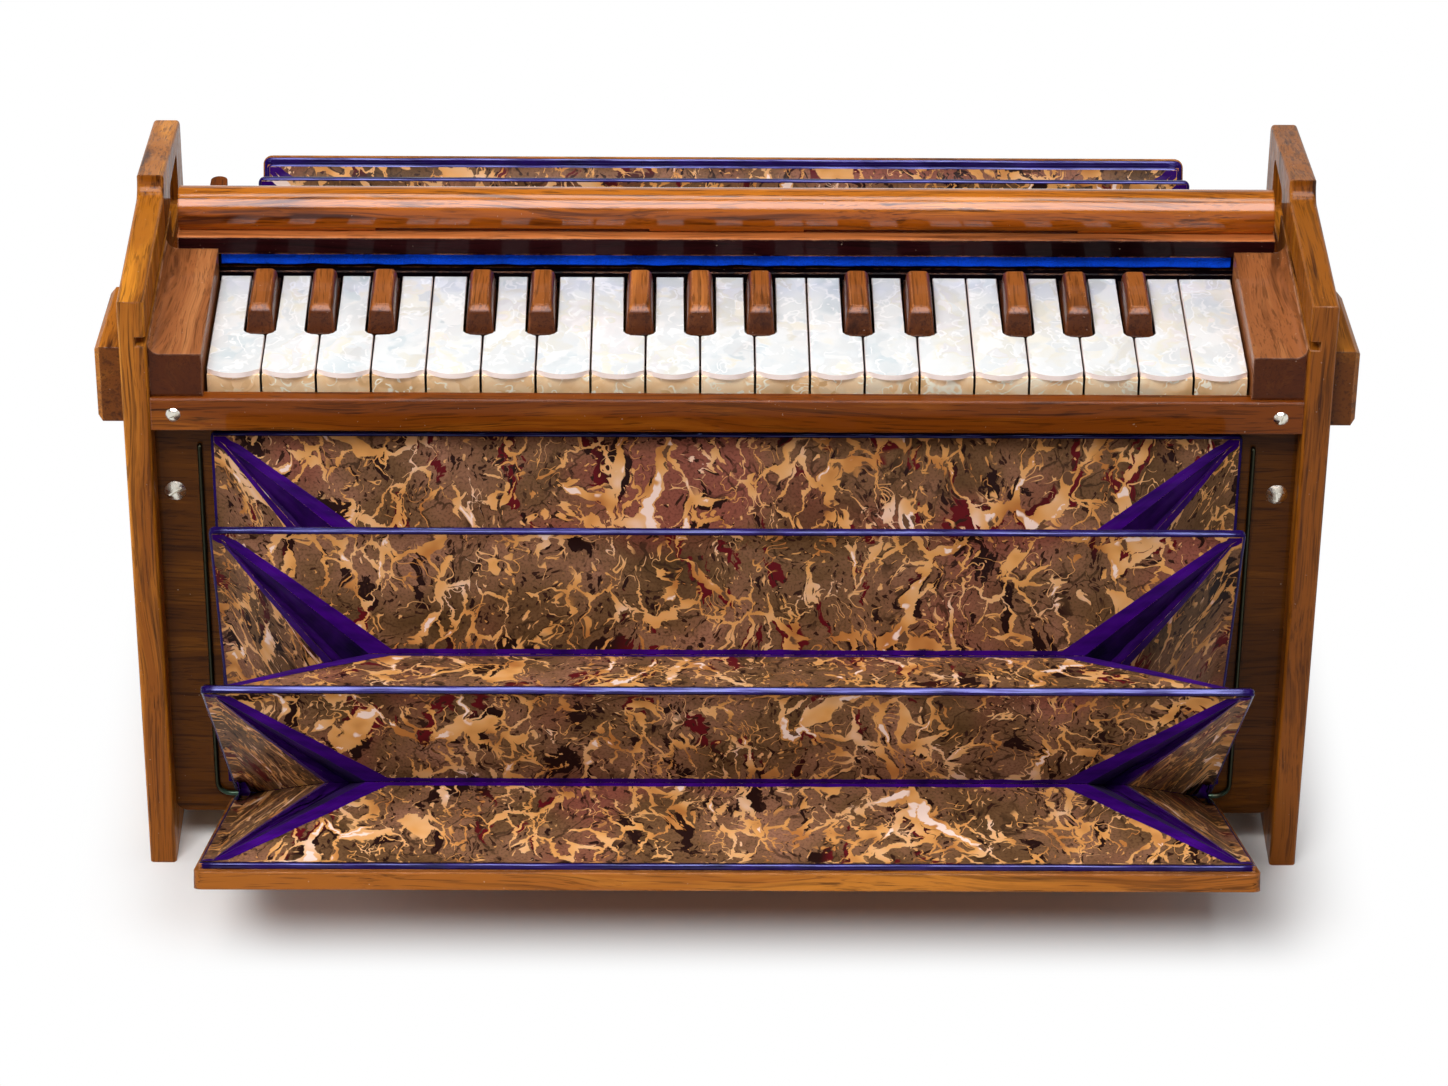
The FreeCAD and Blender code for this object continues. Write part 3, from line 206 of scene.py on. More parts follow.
def wood(name, axis, palette, seed, grip_from=None, edge_wear_and_glint=0.7, varnish=0.25, figure=1.0,
         rounded=True, front_shade=None, slope_shade=None, shade_before=None, streaky=0.55):
    """Varnished wood with its grain along an axis (0, 1 or 2). Beyond grip_from metres from the
    middle, the grain runs along Y instead. The front tint paints shade on the faces that look
    forward, and on all that lies in front of the Y given with it; the slope tint paints shade on
    the steep faces. The pale band on the edges is partly worn varnish and partly a painted
    highlight."""
    light, mid, dark = palette
    deep = tuple(c * 0.35 for c in dark)
    t = new_nodes(name)
    where = t.here()
    place = t.xyz(where)
    facing = t.xyz(t.here("Normal"))
    grain = along(t, place, axis)
    end = t.size(facing[axis])
    if axis == 2:
        # On the top edges of an upright board the grain runs from front to back
        grain = t.mix(t.step(t.size(facing[2]), 0.6, 0.75), grain, along(t, place, 1))
    if grip_from is not None:
        outside = t.maths("GREATER_THAN", t.size(place[0]), grip_from)
        grain = t.mix(outside, grain, along(t, place, 1))
        end = t.times(t.size(facing[1]), outside)
    swayed = t.warped(grain, 1.0, (0.0, 0.02 * figure, 0.02 * figure), 2.0,
                      t.scaled(grain, (6, 24, 24), (seed, 0, 0)))

    def lines(along_grain, across, offset, detail, rough, warp=0.0):
        stretched = t.scaled(swayed, (along_grain, across, across), offset)
        return t.fuzz(stretched, 1.0, detail, rough, warp)

    broad = lines(5, 62, (seed, seed, 0), 4.0, 0.6, 0.4)
    rings = lines(5, 330, (0, seed, seed), 5.0, 0.65)
    seams = lines(9, 520, (seed, 0, 3), 3.0, 0.6)
    pores = t.step(lines(34, 1250, (seed, 0, seed), 2.0, 0.6), 0.56, 0.64)
    base = t.ramp(t.plus(t.times(broad, 0.7), t.times(rings, 0.3)),
                  [(0.36, dark), (0.44, mid), (0.53, mid), (0.61, light)])
    for colour, mark, share in ((dark, t.step(rings, 0.51, 0.63), streaky),
                                (deep, t.step(seams, 0.61, 0.69), streaky),
                                (deep, pores, 0.45), (dark, t.step(end, 0.75, 0.95), 0.55)):
        base = t.over(base, colour, mark, share)
    # Painted shade: faces that look forward are darkened, and so is all that lies in front of the
    # given Y
    if front_shade is not None:
        ahead = t.step(t.times(facing[1], -1.0), 0.8, 0.97)
        if shade_before is not None:
            ahead = t.most(ahead, t.maths("LESS_THAN", place[1], shade_before))
        base = t.mix(ahead, base, front_shade, "MULTIPLY")
    # Painted shade: the steep faces are darkened
    if slope_shade is not None:
        base = t.mix(t.step(t.rest(facing[2]), 0.25, 0.5), base, slope_shade, "MULTIPLY")
    true = soft = t.normal()
    patchy = t.step(t.fuzz(where, 70.0, 4.0, 0.7), 0.4, 0.6)
    if rounded:
        # The edges look rounded, and a pale band along them is partly worn varnish and partly a
        # painted highlight
        soft = t.add("ShaderNodeBevel", {"samples": 3}, Radius=EDGE_RADIUS).outputs[0]
        edge = t.step(t.rest(t.vector("DOT_PRODUCT", soft, true)["Value"]), 0.02, 0.18)
        pale = tuple(min(1.0, c * 1.3 + 0.12) for c in light)
        base = t.over(base, pale, edge, patchy, edge_wear_and_glint)
    specks = t.step(t.fuzz(where, 620.0, 1.0, 0.5), 0.775, 0.8)
    base = t.over(base, (0.55, 0.42, 0.3), specks, 0.35)
    waves = t.plus(t.fuzz(where, 38.0, 2.0, 0.5), t.times(t.fuzz(where, 260.0, 2.0, 0.5), 0.06))
    return t.surface(
        Base_Color=base, Roughness=t.plus(0.34, t.times(patchy, 0.14)), Specular_IOR_Level=0.03,
        Normal=t.bump(t.less(rings, pores), 0.0002, 0.3, Normal=soft), Coat_Weight=varnish,
        Coat_Roughness=0.045, Coat_Normal=t.bump(waves, 0.0003, 0.22, Normal=soft), Coat_IOR=1.45)


def pearl(name, tints, side, seed, flake, contrast=1.0):
    """Pearly plastic: drifting clouds of flakes that lean a little, with thin bright arcs and
    crescents between them. side is the colour of the plate's own edge."""
    dim, bright = tints[0][1], tints[-1][1]
    lean = 0.1
    t = new_nodes(name)
    where = t.here()
    moved = t.scaled(t.warped(where, 55.0, (0.02, 0.026, 0.02)), (1.0, 0.6, 1.0),
                     (seed, seed, 0), (0, 0, 0.6))
    large, small = (t.cells(moved, flake * size, "SMOOTH_F1", Smoothness=soft)["Color"]
                    for size, soft in ((1.0, 0.6), (2.4, 0.25)))
    flakes = t.mix(t.step(t.fuzz(where, 60.0, 2.0), 0.4, 0.56), large, small)
    parts = t.add("ShaderNodeSeparateColor", Color=flakes).outputs
    base = t.ramp(t.plus(t.times(parts[0], 0.3), t.times(t.fuzz(moved, 24.0), 0.7)), tints)
    base = t.over(base, dim, t.step(parts[1], 0.3, 0.62), 0.18 * contrast)
    arcs = t.rest(t.step(t.size(t.less(t.fuzz(moved, 96.0, 1.0), 0.5)), 0.006, 0.03))
    base = t.over(base, bright, arcs, t.step(t.fuzz(where, 110.0, 2.0), 0.48, 0.56), 0.9)
    # Crescents: part of the rim of a round flake, and its hollow a little dimmer
    distance = t.cells(moved, flake * 2.6)["Distance"]
    band = t.times(t.step(distance, 0.3, 0.36), t.rest(t.step(distance, 0.42, 0.46)))
    lit_rim = t.step(t.fuzz(moved, 150.0, 1.0), 0.5, 0.58)
    base = t.over(base, bright, band, lit_rim, 0.9)
    base = t.over(base, dim, t.rest(t.step(distance, 0.2, 0.32)), lit_rim, 0.14 * contrast)
    if side is not None:
        base = t.over(base, side, t.rest(t.step(t.xyz(t.here("Normal"))[2], 0.35, 0.85)), 0.9)
    tilt = t.vector("MULTIPLY_ADD", flakes, (lean * 2, lean * 2, lean), (-lean, -lean, -lean / 2))
    leaning = t.vector("NORMALIZE", t.vector("ADD", t.normal(), tilt[0])[0])[0]
    return t.surface(
        Base_Color=base, Roughness=0.25, Normal=leaning, Specular_IOR_Level=0.5, Coat_Weight=0.6,
        Coat_Roughness=0.05, Coat_Normal=t.bump(t.fuzz(where, 70.0, 2.0), 0.0006, 0.5))


def paper(name, seed):
    """Marbled paper: olive and rosy brown, with torn cream veins, crimson beside them, curls and
    specks."""
    t = new_nodes(name)
    flat = t.scaled(t.flat(), (1, 1, 1), (seed * 0.71, seed * 0.37, seed))

    def bend(vector, scale, amount, detail=3.0):
        return t.warped(vector, scale, (amount, amount, 0.0), detail)

    bent = bend(flat, 26.0, 0.03)
    torn = bend(bend(bent, 170.0, 0.0062, 4.0), 420.0, 0.003)
    curly = bend(flat, 62.0, 0.03, 2.0)

    def gate(scale, low, high, offset, detail=2.0):
        """The places where a kind of mark is let in."""
        moved = t.scaled(flat, (1, 1, 1), (offset, -offset, offset))
        return t.step(t.fuzz(moved, scale, detail), low, high)

    def veins(vector, scale, half_mm, open_here, turn, squeeze):
        """Above zero inside the veins, in units of one over the scale."""
        turned = t.scaled(vector, (1.0, squeeze, 1.0), turn=(0, 0, turn))
        edge = t.cells(turned, scale, "DISTANCE_TO_EDGE")["Distance"]
        return t.less(t.times(open_here, half_mm * MM * scale), edge)

    def dots(scale, size, rarity, offset, slim=0.6):
        """Torn spots in the few cells whose random colour is above the rarity."""
        spots = t.cells(t.scaled(torn, (1.0, slim, 1.0), (offset, 0, 0), (0, 0, offset)), scale)
        lot = t.add("ShaderNodeSeparateColor", Color=spots["Color"]).outputs[0]
        return t.times(t.step(lot, rarity, rarity + 0.01),
                       t.rest(t.step(spots["Distance"], size, size + 0.05)))

    ground = t.ramp(t.fuzz(bent, 24.0, 4.0, 0.6),
                    [(0.32, (0.088, 0.043, 0.016)), (0.46, (0.158, 0.077, 0.034)),
                     (0.58, (0.24, 0.112, 0.06)), (0.72, (0.34, 0.155, 0.096))])
    cream = t.ramp(t.fuzz(flat, 48.0, 2.0),
                   [(0.34, (0.44, 0.165, 0.04)), (0.48, (0.68, 0.32, 0.095)),
                    (0.62, (0.74, 0.41, 0.19)), (0.72, (0.8, 0.54, 0.4))])
    wine = t.mix(gate(9.0, 0.47, 0.52, 21.0, 1.0), (0.105, 0.006, 0.009), (0.016, 0.005, 0.004))
    grains = t.fuzz(flat, 900.0)
    cracks = t.cells(torn, 95.0, "DISTANCE_TO_EDGE")["Distance"]
    slant = t.scaled(torn, (1.0, 0.48, 1.0), turn=(0, 0, -0.8))
    open_major = gate(24.0, 0.45, 0.62, 9.0)
    major = veins(torn, 42.0, 1.25, open_major, -0.7, 0.45)
    minor = veins(bend(torn, 60.0, 0.012), 96.0, 0.62, gate(36.0, 0.44, 0.58, 7.0), 0.9, 0.6)
    swirl = t.size(t.less(t.fuzz(curly, 105.0, 1.0), 0.5))
    colour = ground
    for tint, *shares in (
            ((0.26, 0.07, 0.05), gate(11.0, 0.52, 0.66, 3.0), 0.8),
            ((0.036, 0.016, 0.008), t.step(grains, 0.46, 0.66), 0.45),
            ((0.03, 0.014, 0.007), t.rest(t.step(cracks, 0.018, 0.045)),
             gate(28.0, 0.46, 0.56, 5.0), 0.75),
            (wine, t.step(t.fuzz(slant, 70.0, 4.0, 0.6, 0.4), 0.592, 0.6)),
            ((0.03, 0.011, 0.007), dots(560.0, 0.36, 0.55, 1.0), gate(50.0, 0.38, 0.5, 13.0)),
            ((0.018, 0.006, 0.005), dots(300.0, 0.3, 0.8, 4.0, 0.4), gate(50.0, 0.44, 0.54, 14.0)),
            (wine, t.step(major, -0.04, -0.036), gate(46.0, 0.54, 0.56, 11.0),
             t.step(open_major, 0.2, 0.4)),
            (cream, t.rest(t.step(swirl, 0.009, 0.014)), gate(70.0, 0.52, 0.56, 15.0)),
            (cream, t.step(minor, 0.0, 0.008)),
            (cream, dots(330.0, 0.3, 0.8, 2.0, 0.5), gate(36.0, 0.42, 0.52, 17.0)),
            (cream, dots(640.0, 0.26, 0.86, 6.0, 0.8)),
            (cream, t.step(major, 0.0, 0.005)),
            ((0.86, 0.66, 0.58), t.step(major, 0.02, 0.024), gate(70.0, 0.52, 0.56, 19.0)),
            ((0.13, 0.06, 0.03), dots(240.0, 0.36, 0.8, 3.0), t.step(major, 0.0, 0.01))):
        colour = t.over(colour, tint, *shares)
    relief = t.plus(t.fuzz(flat, 40.0, 2.0), t.times(grains, 0.04))
    return t.surface(
        Base_Color=colour, Roughness=0.45, Specular_IOR_Level=0.03, Coat_Weight=0.03,
        Coat_Roughness=0.14, Normal=t.bump(relief, 0.0012, 0.3))


def leather(name, colour, dark, rough, coat, mapped=True, gloss=0.1, sheen=(1.0, 1.0, 1.0)):
    """Thin glazed leather with a fine grain. Its glints are broken along their length, and fade
    on faces that look aside and at the frames' sides."""
    t = new_nodes(name)
    where = t.flat() if mapped else t.here()
    shade = t.fuzz(where, 60.0)
    base = t.ramp(shade, [(0.32, dark), (0.62, colour)])
    base = t.over(base, (0.35, 0.3, 0.45), t.step(t.fuzz(where, 520.0, 1.0), 0.78, 0.8), 0.1)
    height = t.plus(t.times(t.cells(where, 900.0)["Distance"], 0.1),
                    t.fuzz(t.scaled(where, (30.0, 220.0, 220.0)), 1.0, 4.0, 0.65))
    dull = t.most(t.step(t.size(t.xyz(t.normal())[0]), 0.25, 0.75),
                  t.step(t.size(t.xyz(t.here())[0]), 0.199, 0.2015))
    broken = t.step(t.fuzz(t.scaled(where, (40.0, 700.0, 700.0)), 1.0), 0.36, 0.62)
    kept = t.times(t.rest(t.times(dull, 0.92)), t.plus(0.22, t.times(broken, 0.78)))
    return t.surface(
        Base_Color=base, Roughness=t.plus(rough - 0.06, t.times(shade, 0.14)),
        Normal=t.bump(height, 0.0004, 0.35), Specular_IOR_Level=t.times(kept, gloss),
        Specular_Tint=(*sheen, 1.0), Coat_Weight=t.times(kept, coat), Coat_Roughness=0.16,
        Sheen_Weight=0.03, Sheen_Roughness=0.4)


def felt(name, colour):
    t = new_nodes(name)
    hair = t.fuzz(t.here(), 1400.0, 3.0, 0.7)
    lump = t.fuzz(t.here(), 240.0, 3.0, 0.6)
    base = t.ramp(t.plus(t.times(hair, 0.6), t.times(lump, 0.4)),
                  [(0.32, tuple(c * 0.6 for c in colour)), (0.54, colour)])
    return t.surface(
        Base_Color=base, Roughness=0.92, Specular_IOR_Level=0.1, Sheen_Weight=1.0,
        Sheen_Tint=(0.0, 0.12, 1.0, 1.0), Sheen_Roughness=0.6,
        Normal=t.bump(t.plus(hair, lump), 0.0008, 0.8))


def metal(name, colour, stain, rough, spots=0.6, low=None):
    """Metal with scratches and stains; low = (height, colour) adds a crust below that height, near
    the wires' outer ends."""
    t = new_nodes(name)
    where = t.here()
    patch = t.step(t.fuzz(where, 380.0, 4.0, 0.7), 0.5, 0.7)
    base = t.over(colour, stain, patch, spots)
    metallic = 1.0
    if low is not None:
        place = t.xyz(where)
        crust = t.times(t.rest(t.step(place[2], low[0], low[0] + 0.012)),
                        t.step(t.size(place[0]), 0.195, 0.206),
                        t.step(t.fuzz(where, 300.0), 0.36, 0.56))
        base = t.mix(crust, base, low[1])
        metallic = t.rest(crust)
    scratch = t.fuzz(t.scaled(where, (700, 90, 700)), 1.0)
    return t.surface(Base_Color=base, Metallic=metallic, Normal=t.bump(scratch, 0.0001, 0.5),
                     Roughness=t.plus(rough, t.times(patch, 0.25)))


# A palette of wood is its light, middle and dark colour
GOLD = ((0.66, 0.24, 0.02), (0.42, 0.135, 0.011), (0.08, 0.021, 0.003))
BROWN = ((0.52, 0.18, 0.016), (0.31, 0.094, 0.008), (0.06, 0.016, 0.0025))
RAIL = ((0.31, 0.084, 0.005), (0.185, 0.041, 0.0023), (0.04, 0.009, 0.001))
AMBER = ((0.5, 0.175, 0.02), (0.33, 0.1, 0.011), (0.07, 0.018, 0.003))
BAR = ((0.7, 0.235, 0.018), (0.5, 0.145, 0.008), (0.085, 0.018, 0.002))
RED = ((0.47, 0.18, 0.06), (0.33, 0.11, 0.034), (0.11, 0.032, 0.009))
SHADE = ((0.74, 0.25, 0.07), (0.5, 0.155, 0.04), (0.14, 0.036, 0.01))
BUTTON = ((0.5, 0.165, 0.036), (0.31, 0.092, 0.018), (0.07, 0.018, 0.004))
PANEL = ((0.152, 0.048, 0.003), (0.09, 0.026, 0.0015), (0.028, 0.007, 0.0005))
PALE = ((0.62, 0.43, 0.25), (0.5, 0.33, 0.18), (0.34, 0.21, 0.11))
# Painted shade: the levers are near black, standing for the shadow between and behind the keys
LEVER_SHADE = ((0.03, 0.016, 0.009), (0.02, 0.01, 0.006), (0.01, 0.005, 0.003))
# Pearl tints are stops of a ramp, (place, colour)
PLATE_TINTS = [(0.28, (0.66, 0.73, 0.76)), (0.4, (0.84, 0.86, 0.87)), (0.52, (0.89, 0.89, 0.88)),
               (0.6, (0.89, 0.85, 0.74)), (0.66, (0.9, 0.86, 0.86)), (0.8, (0.99, 0.99, 0.99))]
APRON_TINTS = [(0.25, (0.55, 0.33, 0.14)), (0.42, (0.92, 0.62, 0.33)), (0.58, (1.0, 0.78, 0.5)),
               (0.8, (1.0, 1.0, 0.84))]

FELT_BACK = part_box("name_felt")[1].y + 0.0005
# The grips start this far from the middle, in metres
GRIP_FROM = 0.2424
MAT = {
    # The front and slope tints below are painted shade, and the pale edges are partly wear and
    # partly painted highlight
    "left": wood("varnished_left_side", 2, GOLD, 3.1, GRIP_FROM, streaky=0.62, edge_wear_and_glint=0.45,
                 front_shade=(0.66, 0.58, 0.55)),
    "right": wood("varnished_right_side", 2, BROWN, 5.3, GRIP_FROM, front_shade=(0.85, 0.78, 0.7)),
    "front": wood("varnished_rail", 0, RAIL, 7.7, streaky=0.65),
    # Painted shade: the cover's forward faces and its top in front of the felt are near black
    "cover": wood("varnished_cover", 0, RAIL, 13.9, front_shade=(0.014, 0.02, 0.9),
                  shade_before=FELT_BACK),
    "bar": wood("varnished_bar", 0, BAR, 11.9, edge_wear_and_glint=0.15, varnish=0.8, streaky=0.75,
                front_shade=(0.68, 0.52, 0.35)),
    "ledge": wood("varnished_ledge", 0, SHADE, 17.3, edge_wear_and_glint=0.9, varnish=0.08,
                  front_shade=(0.038, 0.016, 0.08)),
    "board": wood("varnished_boards", 0, AMBER, 23.5, streaky=0.6),
    "cheek": wood("varnished_cheeks", 1, RED, 29.1, figure=2.2, streaky=0.4,
                  front_shade=(0.36, 0.22, 0.06)),
    "sharp": wood("varnished_sharps", 1, BUTTON, 31.7, edge_wear_and_glint=0.75, varnish=0.35, streaky=0.6,
                  slope_shade=(0.42, 0.34, 0.3)),
    "panel": wood("varnished_panels", 0, PANEL, 37.3, varnish=0.12, rounded=False),
    "dark": wood("dark_buttons", 1, RAIL, 41.0, rounded=False),
    "pale": wood("bare_wood", 0, PALE, 43.0, varnish=0.0, rounded=False),
    # Painted shade: near black levers
    "lever_shade": wood("painted_shade_levers", 1, LEVER_SHADE, 47.0, varnish=0.0, rounded=False),
    "plate": pearl("pearl_plates", PLATE_TINTS, (1.0, 0.84, 0.78), 0.0, 62.0),
    "apron": pearl("pearl_aprons", APRON_TINTS, None, 3.0, 90.0, contrast=1.2),
    "paper": paper("marbled_paper", 1.0),
    "purple": leather("purple_leather", (0.05, 0.002, 0.185), (0.014, 0.001, 0.062), 0.42, 0.03,
                      gloss=0.04),
    "fold": leather("folded_leather", (0.03, 0.002, 0.1), (0.008, 0.001, 0.03), 0.5, 0.02,
                    gloss=0.04),
    "binding": leather("glazed_binding", (0.018, 0.005, 0.095), (0.006, 0.002, 0.03), 0.14, 0.25,
                       gloss=0.75, sheen=(0.3, 0.38, 1.0)),
    "flap": leather("valve_leather", (0.55, 0.4, 0.27), (0.4, 0.28, 0.18), 0.7, 0.0, mapped=False),
    "felt": felt("blue_felt", (0.0, 0.085, 1.0)),
    "nickel": metal("worn_nickel", (0.72, 0.69, 0.6), (0.28, 0.24, 0.17), 0.22),
    "brass": metal("reed_brass", (0.66, 0.5, 0.2), (0.35, 0.24, 0.09), 0.32),
    "wire": metal("dark_wire", (0.03, 0.032, 0.02), (0.014, 0.014, 0.01), 0.34, 0.75,
                  (0.022, (0.012, 0.085, 0.045))),
}

CAD_LOOKS = {
    "left": "side_board_left", "right": "side_board_right", "panel": "front_panel rear_panel",
    "pale": "bottom_board reed_pan balance_rail", "cover": "top_cover", "front": "front_rail",
    "cheek": "cheek_blocks", "ledge": "name_ledge", "bar": "round_bar", "brass": "reeds",
    "nickel": "key_wires case_screws", "flap": "flap_valves", "wire": "hinge_wire",
    "dark": "turn_button_left turn_button_right", "board": "front_board rear_board",
}


def dress():
    """Gives the pieces that keep their CAD shape their looks."""
    for look, nodes in CAD_LOOKS.items():
        for node in nodes.split():
            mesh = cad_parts[node].data
            mesh.materials.clear()
            mesh.materials.append(MAT[look])


# Meshes


class Sheets:
    """Collects patches of one mesh, each with its own material and flat coordinates."""

    def __init__(self):
        self.points = []
        self.faces = []
        self.looks = []
        self.flat = []

    def patch(self, rows, look, flats, outward=None):
        """rows is a grid of points, flats their flat coordinates, and outward the way it faces."""
        start = len(self.points)
        across = len(rows[0])
        for row, flat_row in zip(rows, flats):
            self.points += row
            self.flat += flat_row
        turn = False
        if outward is not None:
            i, j = len(rows) // 2 - 1, across // 2 - 1
            a, b, c = rows[i][j], rows[i][j + 1], rows[i + 1][j]
            turn = (b - a).cross(c - a).dot(outward) < 0
        for i in range(len(rows) - 1):
            for j in range(across - 1):
                k = start + i * across + j
                face = [k, k + 1, k + across + 1, k + across]
                self.faces.append(face[::-1] if turn else face)
                self.looks.append(look)

    def grid(self, count, look, outward, line):
        """Patches count + 1 rows; line gives one and its flat coordinates for a share up to 1."""
        rows, flats = zip(*(line(i / count) for i in range(count + 1)))
        self.patch(rows, look, flats, outward)

    def build(self, name, looks, sharp_from=38):
        mesh = bpy.data.meshes.new(name)
        mesh.from_pydata([tuple(p) for p in self.points], [], self.faces)
        mesh.polygons.foreach_set("material_index", [looks.index(look) for look in self.looks])
        layer = mesh.uv_layers.new(name="flat")
        for loop in mesh.loops:
            layer.data[loop.index].uv = self.flat[loop.vertex_index]
        return new_piece(name, mesh, looks, sharp_from)


def new_piece(name, mesh, looks, sharp_from):
    """A smooth object, its edges sharp from that angle in degrees on, or nowhere if it is None."""
    for look in looks:
        mesh.materials.append(MAT[look])
    mesh.polygons.foreach_set("use_smooth", [True] * len(mesh.polygons))
    if sharp_from is not None:
        mesh.set_sharp_from_angle(angle=math.radians(sharp_from))
    return new_object(name, mesh)


def lerp(a, b, share):
    return a + (b - a) * share


def wobble(point, size, scale, seed=0.0):
    """A smooth random number at a place given in mm."""
    return size * noise.noise(Vector((point[0] / scale + seed, point[1] / scale, point[2] / scale)))


# Bellows, in millimetres and degrees

HINGE_Z = 28.0
STRIP = 4.5
# A frame's half thickness grows from FRAME_START_EDGE, at FRAME_START from the hinge, to FRAME_EDGE
FRAME_START = 20.0
FRAME_START_EDGE = 0.25
FRAME_EDGE = 1.2
BOARD_EDGE = 1.15
FIXED_EDGE = 1.05
LEATHER = 0.3
LEATHER_FOOT = 6.0
SKIN_REACH = 7.0
# Half of the angle that a closed pleat keeps
SHUT_HALF_ANGLE = math.radians(1.1)
PAPER_LIFT = 0.52
PAPER_INSET = 0.9
STRAP_LIFT = 0.26
# half and reach are a frame's half width and its distance from the hinge line, and fixed the same
# for the frame on the case. The other pairs are the ends of the valley, side valley and gusset.
FANS = {
    "front": SimpleNamespace(
        y=10.9, side=-1, half=205.0, reach=173.0, fixed=(208.0, 176.5), valley_half=143.0,
        valley_reach=130.0, side_half=158.0, side_reach=124.0, gusset_half=150.0,
        gusset_reach=116.0, pleats=(18.5, 23.5, 23.0),
        bodies=("root", "front_fold_frame_1", "front_fold_frame_2", "front_board")),
    "rear": SimpleNamespace(
        y=159.1, side=1, half=202.0, reach=196.0, fixed=(202.0, 196.0), valley_half=143.0,
        valley_reach=147.0, side_half=158.0, side_reach=140.0, gusset_half=150.0,
        gusset_reach=132.0, pleats=(13.5, 13.5), bodies=("root", "rear_fold_frame", "rear_board")),
}


def frame_size(fan, degrees):
    return fan.fixed if degrees == 0.0 else (fan.half, fan.reach)


def fan_point(fan, x, reach, degrees, lift=0.0):
    """A point that far from the hinge line, in the plane those degrees from upright, and lifted."""
    angle = math.radians(degrees)
    out = reach * math.sin(angle) + lift * math.cos(angle)
    up = reach * math.cos(angle) - lift * math.sin(angle)
    return at(x, fan.y + fan.side * out, HINGE_Z + up)


def frame_path(half, reach):
    """A frame's outer edge from foot to foot over the top; each place has its way inwards."""
    corner = 2.6
    side_steps, arc_steps, top_steps = 40, 6, 120
    side = [(-half, lerp(LEATHER_FOOT, reach - corner, i / side_steps), (1, 0))
            for i in range(side_steps + 1)]
    for i in range(1, arc_steps):
        a = math.radians(90 * i / arc_steps)
        side.append((-half + corner - corner * math.cos(a), reach - corner + corner * math.sin(a),
                     (math.cos(a), -math.sin(a))))
    top = [(lerp(-half + corner, half - corner, i / top_steps), reach, (0, -1))
           for i in range(top_steps + 1)]
    return side + top + [(-x, r, (-inward[0], inward[1])) for x, r, inward in side[::-1]]


def binding(name, fan, degrees, body, low=-FRAME_EDGE, high=FRAME_EDGE, beyond=(0.35, 0.35),
            wide=2.6):
    """The leather folded over a frame: up one side, round the corners, along the top and down."""
    half, reach = (size + more for size, more in zip(frame_size(fan, degrees), beyond))
    rings, flats = [], []
    run = 0.0
    last = None
    for x, r, inward in frame_path(half, reach):
        share = min(1.0, max(0.0, (r - FRAME_START) / (reach - STRIP - FRAME_START)))
        place = (x, r, degrees * 7)
        # The leather is thin at the foot, where the closed frames meet
        room = max(0.04, r * math.tan(SHUT_HALF_ANGLE) - 0.05)
        top, bottom = high, low
        if high >= FRAME_EDGE:
            top = min(room, lerp(FRAME_START_EDGE, high, share) + LEATHER
                      + wobble(place, 0.1, 14.0))
        if low <= -FRAME_EDGE:
            bottom = max(-room, lerp(-FRAME_START_EDGE, low, share) - LEATHER
                         - wobble(place, 0.1, 14.0, 9.0))
        edge = wobble(place, 0.1, 22.0, 4.0)
        middle = (top + bottom) / 2
        tall = (top - bottom) / 2
        dent = 0.12 + abs(wobble(place, 0.25, 30.0, 2.0))
        profile = [(wide, top), (0.9, top), (0.28, middle + tall * 0.82),
                   (0.0, middle + tall * 0.42), (dent, middle), (0.0, middle - tall * 0.42),
                   (0.28, middle - tall * 0.82), (0.9, bottom), (wide, bottom)]
        rings.append([fan_point(fan, x + inward[0] * (inset + edge), r + inward[1] * (inset + edge),
                                degrees, lift) for inset, lift in profile])
        if last is not None:
            run += (Vector((x, r)) - last).length
        last = Vector((x, r))
        flats.append([(run * MM, k * 1.1 * MM) for k in range(len(profile))])
    sheets = Sheets()
    sheets.patch(rings, "binding", flats)
    inner = [[ring[-1], ring[0]] for ring in rings]
    sheets.patch(inner, "binding", [[(f[0][0], 0.02), (f[0][0], 0.03)] for f in flats])
    piece = sheets.build(name, ["binding"], None)
    face_outward(piece)
    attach(piece, body)
    return piece


def face_outward(piece):
    """Makes every face point out of the closed shape."""
    bm = bmesh.new()
    bm.from_mesh(piece.data)
    bmesh.ops.remove_doubles(bm, verts=bm.verts[:], dist=1e-7)
    bmesh.ops.recalc_face_normals(bm, faces=bm.faces[:])
    bm.to_mesh(piece.data)
    bm.free()


